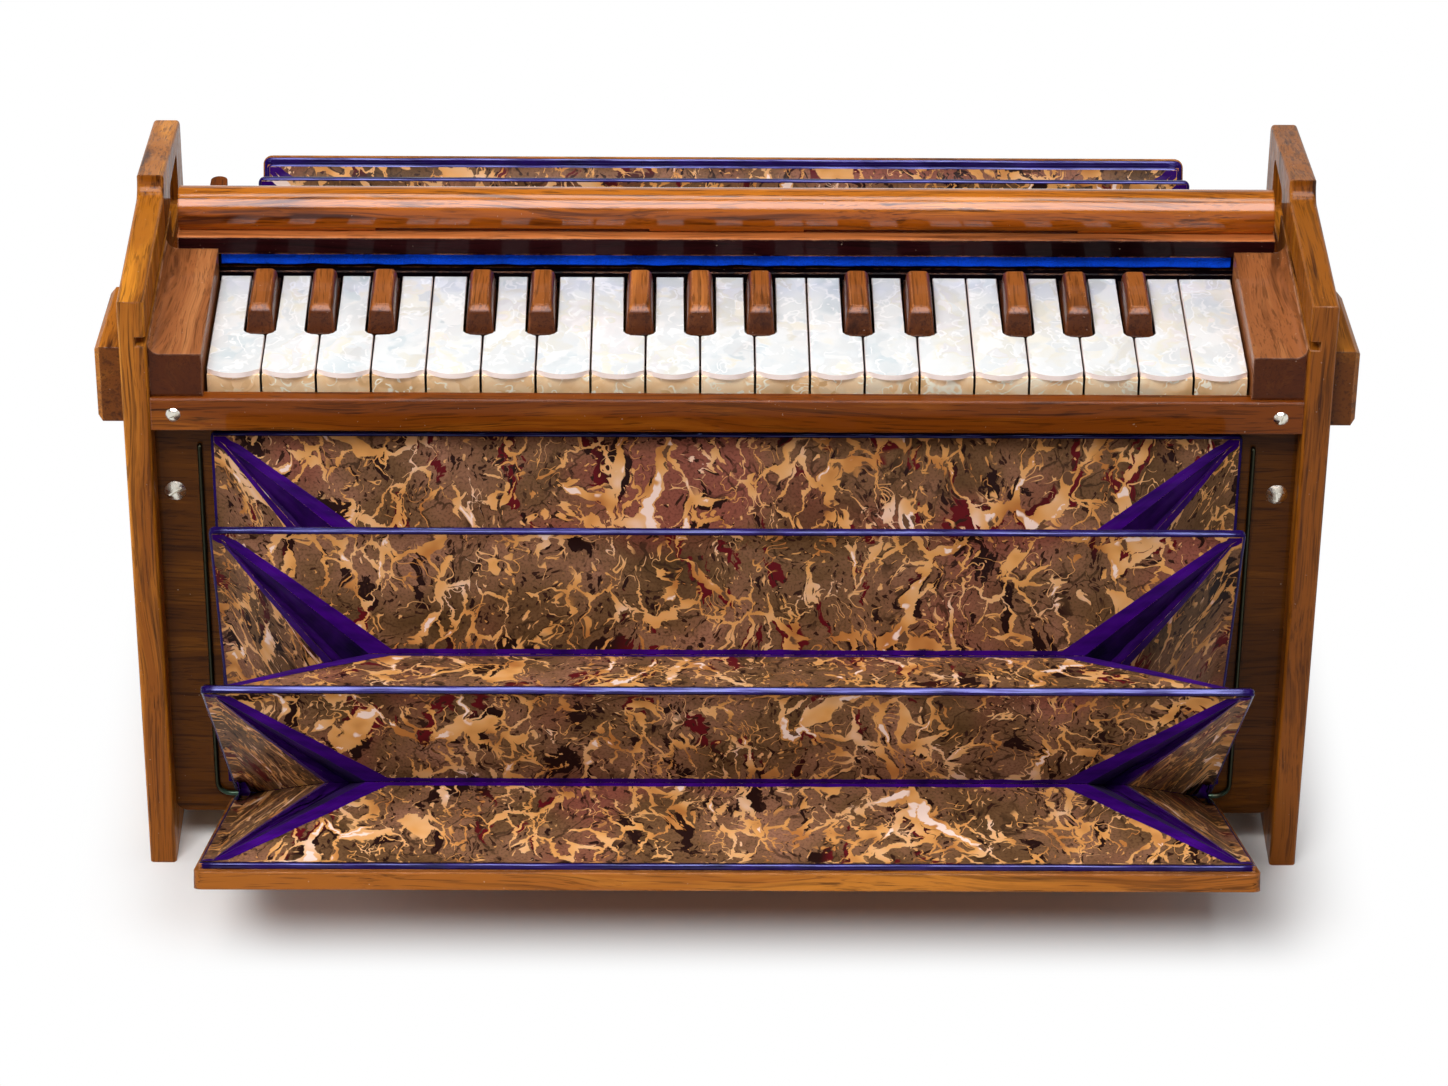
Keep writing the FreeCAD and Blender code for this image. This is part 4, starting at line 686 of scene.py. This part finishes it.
class HalfPleat:
    """The paper and leather between one frame and the valley beside it."""

    def __init__(self, sheets, fan, ridge_deg, valley_deg, seed):
        self.sheets = sheets
        self.fan = fan
        self.ridge_deg = ridge_deg
        self.valley_deg = valley_deg
        self.seed = seed
        self.away = 1 if valley_deg > ridge_deg else -1
        self.half, self.reach = frame_size(fan, ridge_deg)
        self.fold = STRIP + 0.6
        self.fold_half = self.half - self.fold
        self.fold_reach = self.reach - self.fold
        self.face_lift = FRAME_EDGE + PAPER_LIFT
        middle = (ridge_deg + valley_deg) / 2
        self.out_top = (fan_point(fan, 0, 10, middle) - fan_point(fan, 0, 0, middle)).normalized()
        self.rib_drop = (self.top_rib(0, 0) - self.top_rib(0, 1)).length / MM

    def make(self):
        rng = random.Random(self.seed)
        self.top_paper((rng.uniform(0, 3), rng.uniform(0, 3)))
        self.valley_strap()
        for end in (-1, 1):
            self.side_paper(end, (rng.uniform(0, 3), rng.uniform(0, 3)))
            self.corner_straps(end)
            self.gusset(end)

    def ridge(self, x, r, lift):
        return fan_point(self.fan, x, r, self.ridge_deg, self.away * lift)

    def valley(self, x, r):
        return fan_point(self.fan, x, r, self.valley_deg, -self.away * 0.12)

    def half_at(self, share):
        return lerp(self.fold_half, self.fan.valley_half, share)

    def top_rib(self, u, share, lift=0.0):
        """u runs from -1 to 1 along the rib, share from the frame's fold to the valley."""
        point = lerp(self.ridge(u * self.fold_half, self.fold_reach, self.face_lift),
                     self.valley(u * self.fan.valley_half, self.fan.valley_reach), share)
        swell = math.sin(math.pi * share)
        swell *= 0.5 + wobble((u * 200, share * 20, self.seed), 1.2, 60.0)
        return point + self.out_top * ((swell + lift) * MM)

    def side_rib(self, end, t, share, lift=0.0):
        """t runs from the hinge up to the corner, share from the frame's fold to the valley."""
        r = lerp(FRAME_START + 3.0, self.fold_reach, t)
        taper = min(1.0, max(0.0, (r - FRAME_START) / (self.reach - STRIP - FRAME_START)))
        outer = self.ridge(end * self.fold_half, r,
                           lerp(FRAME_START_EDGE, FRAME_EDGE, taper) + PAPER_LIFT)
        inner = self.valley(end * lerp(self.fold_half - 1.0, self.fan.side_half, t),
                            max(self.fan.side_reach * t, 6.0))
        swell = math.sin(math.pi * share) * t
        swell *= 0.3 + wobble((t * 90, share * 30, self.seed + end), 0.8, 40.0)
        return lerp(outer, inner, share) + Vector((end * (swell + lift) * MM, 0, 0))

    def top_paper(self, shift):
        columns, steps = 84, 8
        spread = [j / columns * 2 - 1 for j in range(columns + 1)]
        half, down = self.half - PAPER_INSET, PAPER_INSET - self.fold
        rows = [[self.ridge(u * half, self.reach - PAPER_INSET, self.face_lift) for u in spread]]
        flats = [[(u * half * MM + shift[0], down * MM + shift[1]) for u in spread]]
        for k in range(steps + 1):
            half, down = self.half_at(k / steps), self.rib_drop * k / steps
            rows.append([self.top_rib(u, k / steps) for u in spread])
            flats.append([(u * half * MM + shift[0], down * MM + shift[1]) for u in spread])
        self.sheets.patch(rows, "paper", flats, self.out_top)

    def side_paper(self, end, shift):
        shares = [k / 7 for k in range(8)]
        overlap = self.fold - PAPER_INSET

        def line(t):
            r = lerp(FRAME_START + 3.0, self.fold_reach, t)
            shove = Vector((end * overlap * MM, 0, 0))
            rise = self.ridge(0, r + overlap * t ** 6, 0) - self.ridge(0, r, 0)
            row = [self.side_rib(end, t, 0) + shove + rise]
            row += [self.side_rib(end, t, share) for share in shares]
            flat = [-4.0 * MM] + [share * 50 * t * MM for share in shares]
            return row, [(across + shift[0], r * MM + shift[1]) for across in flat]

        self.sheets.grid(28, "paper", Vector((end, 0, 0)), line)

    def valley_strap(self):
        """Leather along the bottom of the fold."""
        def line(share):
            u = share * 2 - 1
            tall = (2.0 + wobble((u * 200, self.seed, 0), 0.45, 12.0)) / self.rib_drop
            return ([self.top_rib(u, s, STRAP_LIFT) for s in (1 - tall, 1 - tall * 0.5, 1.0)],
                    [(u * 0.2, k * 0.001) for k in range(3)])

        self.sheets.grid(96, "purple", self.out_top, line)

    def corner_straps(self, end):
        """The two straps that run from the frame's corner down to the valley, over the paper."""
        outward = Vector((end, 0, 0))
        face = self.face_lift + STRAP_LIFT
        top_rows, side_rows, flats = [], [], []
        for inset in (1.1, 3.0):
            x, r = end * (self.half - inset), self.reach - inset
            top_rows.append([self.ridge(x - end * step_in, r, face) for step_in in (4.6, 2.3, 0.0)])
            side_rows.append([self.ridge(x, r - step_down, face) for step_down in (0.0, 1.4, 2.8)])
            flats.append([(inset * MM, k * 0.003) for k in range(3)])
        count = 30
        for i in range(count + 1):
            s = i / count
            ragged = wobble((s * 60, self.seed * 5, end), 0.35, 10.0)
            wide = (lerp(4.0, 8.4, s) + ragged) * 1.36 / self.half_at(s)
            top_rows.append([self.top_rib(end * (1 - wide * k), s, STRAP_LIFT * (1 + 0.3 * (1 - k)))
                             for k in (1.0, 0.5, 0.0)])
            low = 1 - (lerp(2.2, 6.4, s) + ragged) * 1.15 / self.fold_reach
            side_rows.append([self.side_rib(end, lerp(1.0, low, k), s, STRAP_LIFT)
                              for k in (0.0, 0.5, 1.0)])
            flats.append([(s * 0.08 + 0.005, k * 0.003) for k in range(3)])
        self.sheets.patch(top_rows, "purple", flats, self.out_top)
        self.sheets.patch(side_rows, "purple", flats, outward)

    def gusset(self, end):
        """Leather folded inwards between the two straps, crushed a little near the valley."""
        outward = Vector((end, 0, 0))
        corner = self.side_rib(end, 1, 0)
        tip = self.valley(end * self.fan.gusset_half, self.fan.gusset_reach)
        across = 7

        def line(along_fold):
            s = lerp(0.02, 1.0, along_fold)
            crush = 15.0 * s ** 3 * (1 - s)
            upper, lower = self.top_rib(end, s, STRAP_LIFT), self.side_rib(end, 1.0, s, STRAP_LIFT)
            bottom = lerp(corner, tip, s)
            row = [upper]
            for k in range(1, 2 * across):
                share = k / across
                if k <= across:
                    point, push = lerp(upper, bottom, share), self.out_top
                else:
                    point, push = lerp(bottom, lower, share - 1), outward
                fade = math.sin(math.pi * min(1.0, share if share <= 1 else 2 - share))
                crease = wobble((s * 26, share * 14, self.seed * 3 + end), 1.7, 4.0)
                crease *= 0.35 * s + crush
                row.append(point + push * (crease * (0.35 + 0.65 * fade) * MM))
            row.append(lerp(bottom, lower, 1.0))
            return row, [(s * 0.08 + self.seed, k * 1.6 * MM) for k in range(len(row))]

        self.sheets.grid(30, "fold", outward * 0.6 + self.out_top, line)


def hinge_skin(sheets, fan, start, end):
    """Leather that closes the foot of a pleat, along the hinge and at both ends."""
    half = fan.half - 1.0
    turns = [lerp(start, end, k / 4) for k in range(5)]

    def foot_row(share):
        x = lerp(-half, half, share)
        reach = SKIN_REACH + wobble((x, 0, start), 0.5, 30.0)
        return ([fan_point(fan, x, reach, turn) for turn in turns],
                [(x * MM, k * 0.6 * MM) for k in range(5)])

    sheets.grid(60, "purple", Vector((0, 0, -1)), foot_row)
    for side in (-1, 1):
        def end_row(share):
            r = lerp(SKIN_REACH, FRAME_START + 8.0, share)
            row = []
            for k, turn in enumerate(turns):
                hollow = 2.0 * math.sin(math.pi * k / 4) * share
                row.append(fan_point(fan, side * (half - 0.4 - hollow), r, turn))
            return row, [(r * MM, k * MM) for k in range(5)]

        sheets.grid(4, "purple", Vector((side, 0, 0)), end_row)


def pleats(label, fan):
    start = 0.0
    for number, opening in enumerate(fan.pleats):
        end = start + opening
        valley = (start + end) / 2
        sheets = Sheets()
        seed = number * 10 + (50 if label == "rear" else 0)
        HalfPleat(sheets, fan, start, valley, seed + 3).make()
        HalfPleat(sheets, fan, end, valley, seed + 7).make()
        hinge_skin(sheets, fan, start, end)
        piece = sheets.build("%s_pleat_%d" % (label, number + 1), ["paper", "purple", "fold"])
        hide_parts(label + "_pleats")
        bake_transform(piece)
        start = end


def bellows():
    front, rear = FANS["front"], FANS["rear"]
    for label, fan in FANS.items():
        piece = binding(label + "_fixed_binding", fan, 0.0, "root", low=-FIXED_EDGE)
        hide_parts("fixed_fold_frames")
    angle = 0.0
    for number in (1, 2):
        angle += front.pleats[number - 1]
        frame_name = "front_fold_frame_%d" % number
        piece = binding("front_binding_%d" % number, front, angle, frame_name)
        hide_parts(frame_name)
    binding("front_board_binding", front, sum(front.pleats), "front_board", high=BOARD_EDGE)
    piece = binding("rear_binding_1", rear, rear.pleats[0], "rear_fold_frame")
    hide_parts("rear_fold_frame")
    open_angle = sum(rear.pleats)
    binding("rear_board_binding", rear, open_angle, "rear_board", high=BOARD_EDGE)
    binding("rear_board_band", rear, open_angle, "rear_board", low=0.75, high=BOARD_EDGE,
            beyond=(1.4, 3.1), wide=3.6)
    pleats("front", front)
    pleats("rear", rear)


# Keys, in millimetres

WHITE_PITCH = 22.0
WHITE_COUNT = 19
KEY_GAP = 0.8
WHITE_TOP = 233.7
PLATE = 2.2
PLATE_FRONT = 7.5
PLATE_REAR = 88.8
PLATE_ROUNDING = 0.55
NOSE_SAG = 4.2
APRON_FRONT = 9.6
APRON_BACK = 11.1
APRON_BOTTOM = 219.6
FRONT_BLOCK_BOTTOM = 220.0
# The cut beside a sharp key: its start, its corner's radius, its edge from the sharp's middle
NOTCH_START = 39.5
NOTCH_RADIUS = 3.0
NOTCH_EDGE = 6.6
LEVER_TOP = 231.5
LEVER_BOTTOM = 217.0
WHITE_LEVER_FRONT = 36.5
SHARP_FRONT = 43.5
# Under the cover the lever is lower
COVERED_FROM = 91.0
COVERED_TOP = 224.0
LEVER_REAR = 146.0
LEVER_WIDE = 11.4
# Half width, front, rear and bottom
PALLET = (4.5, 120.0, 144.0, 200.3)
KEYBOARD_HALF = WHITE_PITCH * WHITE_COUNT / 2
# A sharp block's outlines: height, half width, front, rear, corner radius
SHARP_RINGS = ((231.5, 5.8, 43.5, 81.0, 1.0), (232.6, 5.65, 43.9, 80.9, 1.0),
               (234.2, 5.35, 44.9, 80.7, 1.1), (239.2, 5.0, 46.2, 80.2, 1.2),
               (240.6, 4.75, 46.8, 79.9, 1.2), (241.5, 4.3, 47.6, 79.5, 1.1),
               (242.45, 3.55, 48.9, 78.6, 0.8), (242.7, 3.3, 49.2, 78.3, 0.7))


def sharp_places():
    """The middle of each sharp key, in groups of three and two, by the gap it stands over."""
    places = {}
    boundary = 1
    while boundary < WHITE_COUNT:
        group = (-2.6, 0.0, 2.6) if len(places) % 5 == 0 else (-1.6, 1.6)
        for shift in group:
            if boundary < WHITE_COUNT:
                places[boundary] = boundary * WHITE_PITCH - KEYBOARD_HALF + shift
            boundary += 1
        boundary += 1
    return places


def loft(bm, loops, look):
    """A closed solid through loops of points; gives its last cap."""
    loops = [[bm.verts.new(point) for point in loop] for loop in loops]
    faces = [bm.faces.new(loops[-1]), bm.faces.new(loops[0][::-1])]
    for low, high in zip(loops, loops[1:]):
        for i in range(len(low)):
            j = (i + 1) % len(low)
            faces.append(bm.faces.new((low[i], low[j], high[j], high[i])))
    for face in faces:
        face.material_index = look
    return faces[0]


def slab(bm, outline, z0, z1, look, round_top=0.0):
    """A plate from a flat outline, its upper edges rounded."""
    top = loft(bm, [[at(x, y, z) for x, y in outline] for z in (z0, z1)], look)
    if round_top:
        bmesh.ops.bevel(bm, geom=list(top.edges), offset=round_top * MM, segments=3, profile=0.5,
                        affect="EDGES", clamp_overlap=True, material=look)


def rectangle(x0, x1, y0, y1):
    return [(x0, y0), (x1, y0), (x1, y1), (x0, y1)]


def corner_arc(x, y, radius, start, end, count=5):
    turns = [math.radians(lerp(start, end, k / count)) for k in range(count + 1)]
    return [(x + radius * math.cos(turn), y + radius * math.sin(turn)) for turn in turns]


def finish_key(bm, name, node, looks):
    mesh = bpy.data.meshes.new(name)
    bmesh.ops.recalc_face_normals(bm, faces=bm.faces[:])
    bm.to_mesh(mesh)
    bm.free()
    piece = new_piece(name, mesh, looks, 32)
    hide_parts(node)
    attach(piece, node)


def lever(bm, x, half, front, look):
    """The wooden lever: full height in front, thin under the cover, with its pallet below."""
    outline = [(front, LEVER_BOTTOM), (front, LEVER_TOP), (COVERED_FROM, LEVER_TOP),
               (COVERED_FROM, COVERED_TOP), (LEVER_REAR, COVERED_TOP), (LEVER_REAR, LEVER_BOTTOM)]
    loft(bm, [[at(side, y, z) for y, z in outline] for side in (x + half, x - half)], look)
    wide, y0, y1, bottom = PALLET
    slab(bm, rectangle(x - wide, x + wide, y0, y1), bottom, LEVER_BOTTOM, look)


def flank(edge, tail, way):
    """A white plate's outline from its nose to its rear, on the right (way 1) or the left (-1)."""
    shoulder = PLATE_FRONT + NOSE_SAG
    points = [(edge - way * 0.25, shoulder - 0.7), (edge, shoulder + 0.5)]
    if tail != edge:
        points += [(edge, NOTCH_START - 0.6), (edge - way * 0.6, NOTCH_START)]
        points += corner_arc(tail + way * NOTCH_RADIUS, NOTCH_START + NOTCH_RADIUS, NOTCH_RADIUS,
                             270, 270 - way * 90)
    return points + [(tail, PLATE_REAR)]


def white_key(number, sharps):
    x0 = number * WHITE_PITCH - KEYBOARD_HALF + KEY_GAP / 2
    x1 = x0 + WHITE_PITCH - KEY_GAP
    tail0 = sharps[number] + NOTCH_EDGE if number in sharps else x0
    tail1 = sharps[number + 1] - NOTCH_EDGE if number + 1 in sharps else x1
    # The nose is an arc through the front corners, cut short by four degrees at each end
    radius = ((x1 - x0) ** 2 / 4 + NOSE_SAG * NOSE_SAG) / (2 * NOSE_SAG)
    spread = math.degrees(math.asin((x1 - x0) / 2 / radius)) - 4
    nose = corner_arc((x0 + x1) / 2, PLATE_FRONT + radius, radius, -90 - spread, -90 + spread, 16)
    outline = nose + flank(x1, tail1, 1) + flank(x0, tail0, -1)[::-1]
    low = WHITE_TOP - PLATE
    bm = bmesh.new()
    slab(bm, outline, low, WHITE_TOP, 0, PLATE_ROUNDING)
    for y0, y1, bottom, look in ((APRON_FRONT, APRON_BACK, APRON_BOTTOM, 1),
                                 (APRON_BACK, WHITE_LEVER_FRONT, FRONT_BLOCK_BOTTOM, 2)):
        slab(bm, rectangle(x0 + 0.1, x1 - 0.1, y0, y1), bottom, low, look)
    half = min(tail1 - tail0, LEVER_WIDE) / 2 - 0.1
    lever(bm, (tail0 + tail1) / 2, half, WHITE_LEVER_FRONT, 2)
    label = "%02d" % (number + 1)
    finish_key(bm, "white_plate_" + label, "white_key_" + label, ["plate", "apron", "lever_shade"])


def sharp_key(number, x):
    """A sharp key's block: flared foot, leaning sides, bevelled plateau."""
    bm = bmesh.new()
    loops = []
    for z, half, y0, y1, radius in SHARP_RINGS:
        outline = []
        for way, y, turn in ((1, y0 + radius, -90), (1, y1 - radius, 0), (-1, y1 - radius, 90),
                             (-1, y0 + radius, 180)):
            outline += corner_arc(x + way * half - way * radius, y, radius, turn, turn + 90, 4)
        loops.append([at(px, py, z) for px, py in outline])
    loft(bm, loops, 0)
    lever(bm, x, 5.3, SHARP_FRONT, 1)
    label = "%02d" % (number + 1)
    finish_key(bm, "sharp_block_" + label, "sharp_key_" + label, ["sharp", "lever_shade"])


def keyboard():
    sharps = sharp_places()
    for number in range(WHITE_COUNT):
        white_key(number, sharps)
    for number, boundary in enumerate(sorted(sharps)):
        sharp_key(number, sharps[boundary])


def felt_strip():
    """The blue felt behind the keys, its lower edge cut by hand."""
    low_corner, high_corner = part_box("name_felt")
    sheets = Sheets()
    rear, top = high_corner.y, high_corner.z
    soft = 0.6 * MM

    def line(share):
        x = lerp(low_corner.x, high_corner.x, share)
        mm = (x / MM, 0, 0)
        low = low_corner.z + (0.35 + wobble(mm, 0.5, 11.0)) * MM
        front = low_corner.y + (0.25 + wobble(mm, 0.35, 8.0, 3.0)) * MM
        middle = front + wobble(mm, 0.3, 5.0, 7.0) * MM
        profile = [(rear, top), (front + soft, top), (front, top - soft),
                   (middle, lerp(low, top, 0.5)), (front, low + soft), (front + soft, low),
                   (rear, low), (rear, top)]
        return ([Vector((x, y, z)) for y, z in profile],
                [(x, k * MM) for k in range(len(profile))])

    sheets.grid(180, "felt", None, line)
    piece = sheets.build("name_felt_strip", ["felt"])
    face_outward(piece)
    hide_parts("name_felt")
    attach(piece, "root")


# Stage, light and camera

# The shadow on the floor stays whole out to these distances in metres, and fades over SHADOW_FADE
SHADOW_SIDE = 0.225
SHADOW_FRONT = 0.082
SHADOW_REAR = 0.17
SHADOW_FADE = 0.05


def seen(t):
    """One where the camera looks, also in a mirror, and zero where light is only scattered."""
    path = t.add("ShaderNodeLightPath").outputs
    return t.most(t.most(path["Is Camera Ray"], path["Is Glossy Ray"]), path["Is Transmission Ray"])


def stage():
    """A white floor that keeps the shadow near the case, and a white room around it."""
    bpy.ops.mesh.primitive_plane_add(size=12.0, location=(0, 0, -0.0002))
    floor = bpy.context.object
    floor.name = "floor"
    t = new_nodes("white_floor")
    made = t.surface(Base_Color=(0.93, 0.93, 0.93, 1.0), Roughness=0.9, Specular_IOR_Level=0.0,
                     Normal=t.bump(t.fuzz(t.here(), 3.0, 2.0), 0.0005, 0.1))
    glow = t.add("ShaderNodeEmission", Color=(1, 1, 1, 1), Strength=1.0).outputs[0]
    spot = t.xyz(t.here())
    aside = t.less(t.size(spot[0]), SHADOW_SIDE)
    before = t.less(t.times(spot[1], -1.0), SHADOW_FRONT)
    behind = t.less(spot[1], SHADOW_REAR)
    past = t.add("ShaderNodeCombineXYZ", X=t.most(aside, 0.0),
                 Y=t.most(t.most(before, behind), 0.0))
    away = t.step(t.vector("LENGTH", past.outputs[0])["Value"], 0.0, SHADOW_FADE)
    plain = t.tree.nodes["Principled BSDF"].outputs[0]
    blend = t.add("ShaderNodeMixShader", i0=t.times(away, seen(t)), i1=plain, i2=glow)
    t.fill(t.tree.nodes["Material Output"], {"Surface": blend.outputs[0]})
    floor.data.materials.append(made)

    world = bpy.data.worlds.new("studio")
    bpy.context.scene.world = world
    t = Nodes(world)
    t.tree.nodes.clear()
    # White at the horizon and below it, as the backdrop is, and dim above
    dim = t.times(t.step(t.xyz(t.here("Generated"))[2], 0.2, 0.42), 0.85)
    wall = t.mix(t.rest(dim), (0.0, 0.0, 0.0), (1.0, 1.0, 1.0))
    lit = t.add("ShaderNodeBackground", Color=(0.94, 0.96, 1.0, 1.0), Strength=0.22).outputs[0]
    shown = t.add("ShaderNodeBackground", Color=wall, Strength=1.0).outputs[0]
    total = t.add("ShaderNodeMixShader", i0=seen(t), i1=lit, i2=shown).outputs[0]
    t.add("ShaderNodeOutputWorld", Surface=total)


def lamp(name, place, aim, size, power, colour=(1, 1, 1)):
    data = bpy.data.lights.new(name, "AREA")
    data.shape = "RECTANGLE"
    data.size, data.size_y = size
    data.energy = power
    data.color = colour
    piece = new_object(name, data)
    piece.location = place
    piece.rotation_euler = (Vector(aim) - Vector(place)).to_track_quat("-Z", "Y").to_euler()
    return piece


def lamps():
    """The strip only shows in gloss, and the key only lights what isn't a mirror."""
    strip = lamp("softbox_strip", (0.0, -0.97, 1.66), (0, 0.06, 0.24), (1.8, 1.24), 90.0,
                 (1.0, 0.9, 0.93))
    strip.visible_diffuse = False
    lamp("softbox_top", (0.05, 0.15, 1.8), (0, 0, 0.15), (0.9, 0.5), 11.0)
    key = lamp("softbox_key", (-0.42, -1.0, 1.6), (0, -0.05, 0.12), (0.8, 0.6), 24.0,
               (1.0, 0.985, 0.965))
    key.visible_glossy = False
    lamp("softbox_left", (-1.6, -0.35, 0.75), (0, -0.05, 0.12), (0.4, 0.5), 3.0, (0.95, 0.97, 1.0))


def camera():
    """The camera fitted to the photograph; the focal length is in the photograph's pixels."""
    focal, picture_width, sensor = 5081.0, 1448, 36.0
    tilt, yaw, roll = math.radians(31.65), math.radians(0.62), math.radians(0.52)
    ahead = Vector((math.sin(yaw) * math.cos(tilt), math.cos(yaw) * math.cos(tilt),
                    -math.sin(tilt)))
    level = Vector((math.cos(yaw), -math.sin(yaw), 0))
    upright = level.cross(ahead)
    right = level * math.cos(roll) + upright * math.sin(roll)
    up = upright * math.cos(roll) - level * math.sin(roll)
    data = bpy.data.cameras.new("camera")
    data.sensor_fit = "HORIZONTAL"
    data.sensor_width = sensor
    data.lens = focal / picture_width * sensor
    data.clip_start = 0.05
    piece = new_object("camera", data)
    turn = Matrix((right, up, -ahead)).transposed().to_4x4()
    piece.matrix_world = Matrix.Translation(at(-20.0, -1758.0, 1243.0)) @ turn
    bpy.context.scene.camera = piece


dress()
bellows()
keyboard()
felt_strip()
stage()
lamps()
camera()
bpy.context.scene.view_settings.view_transform = "Standard"
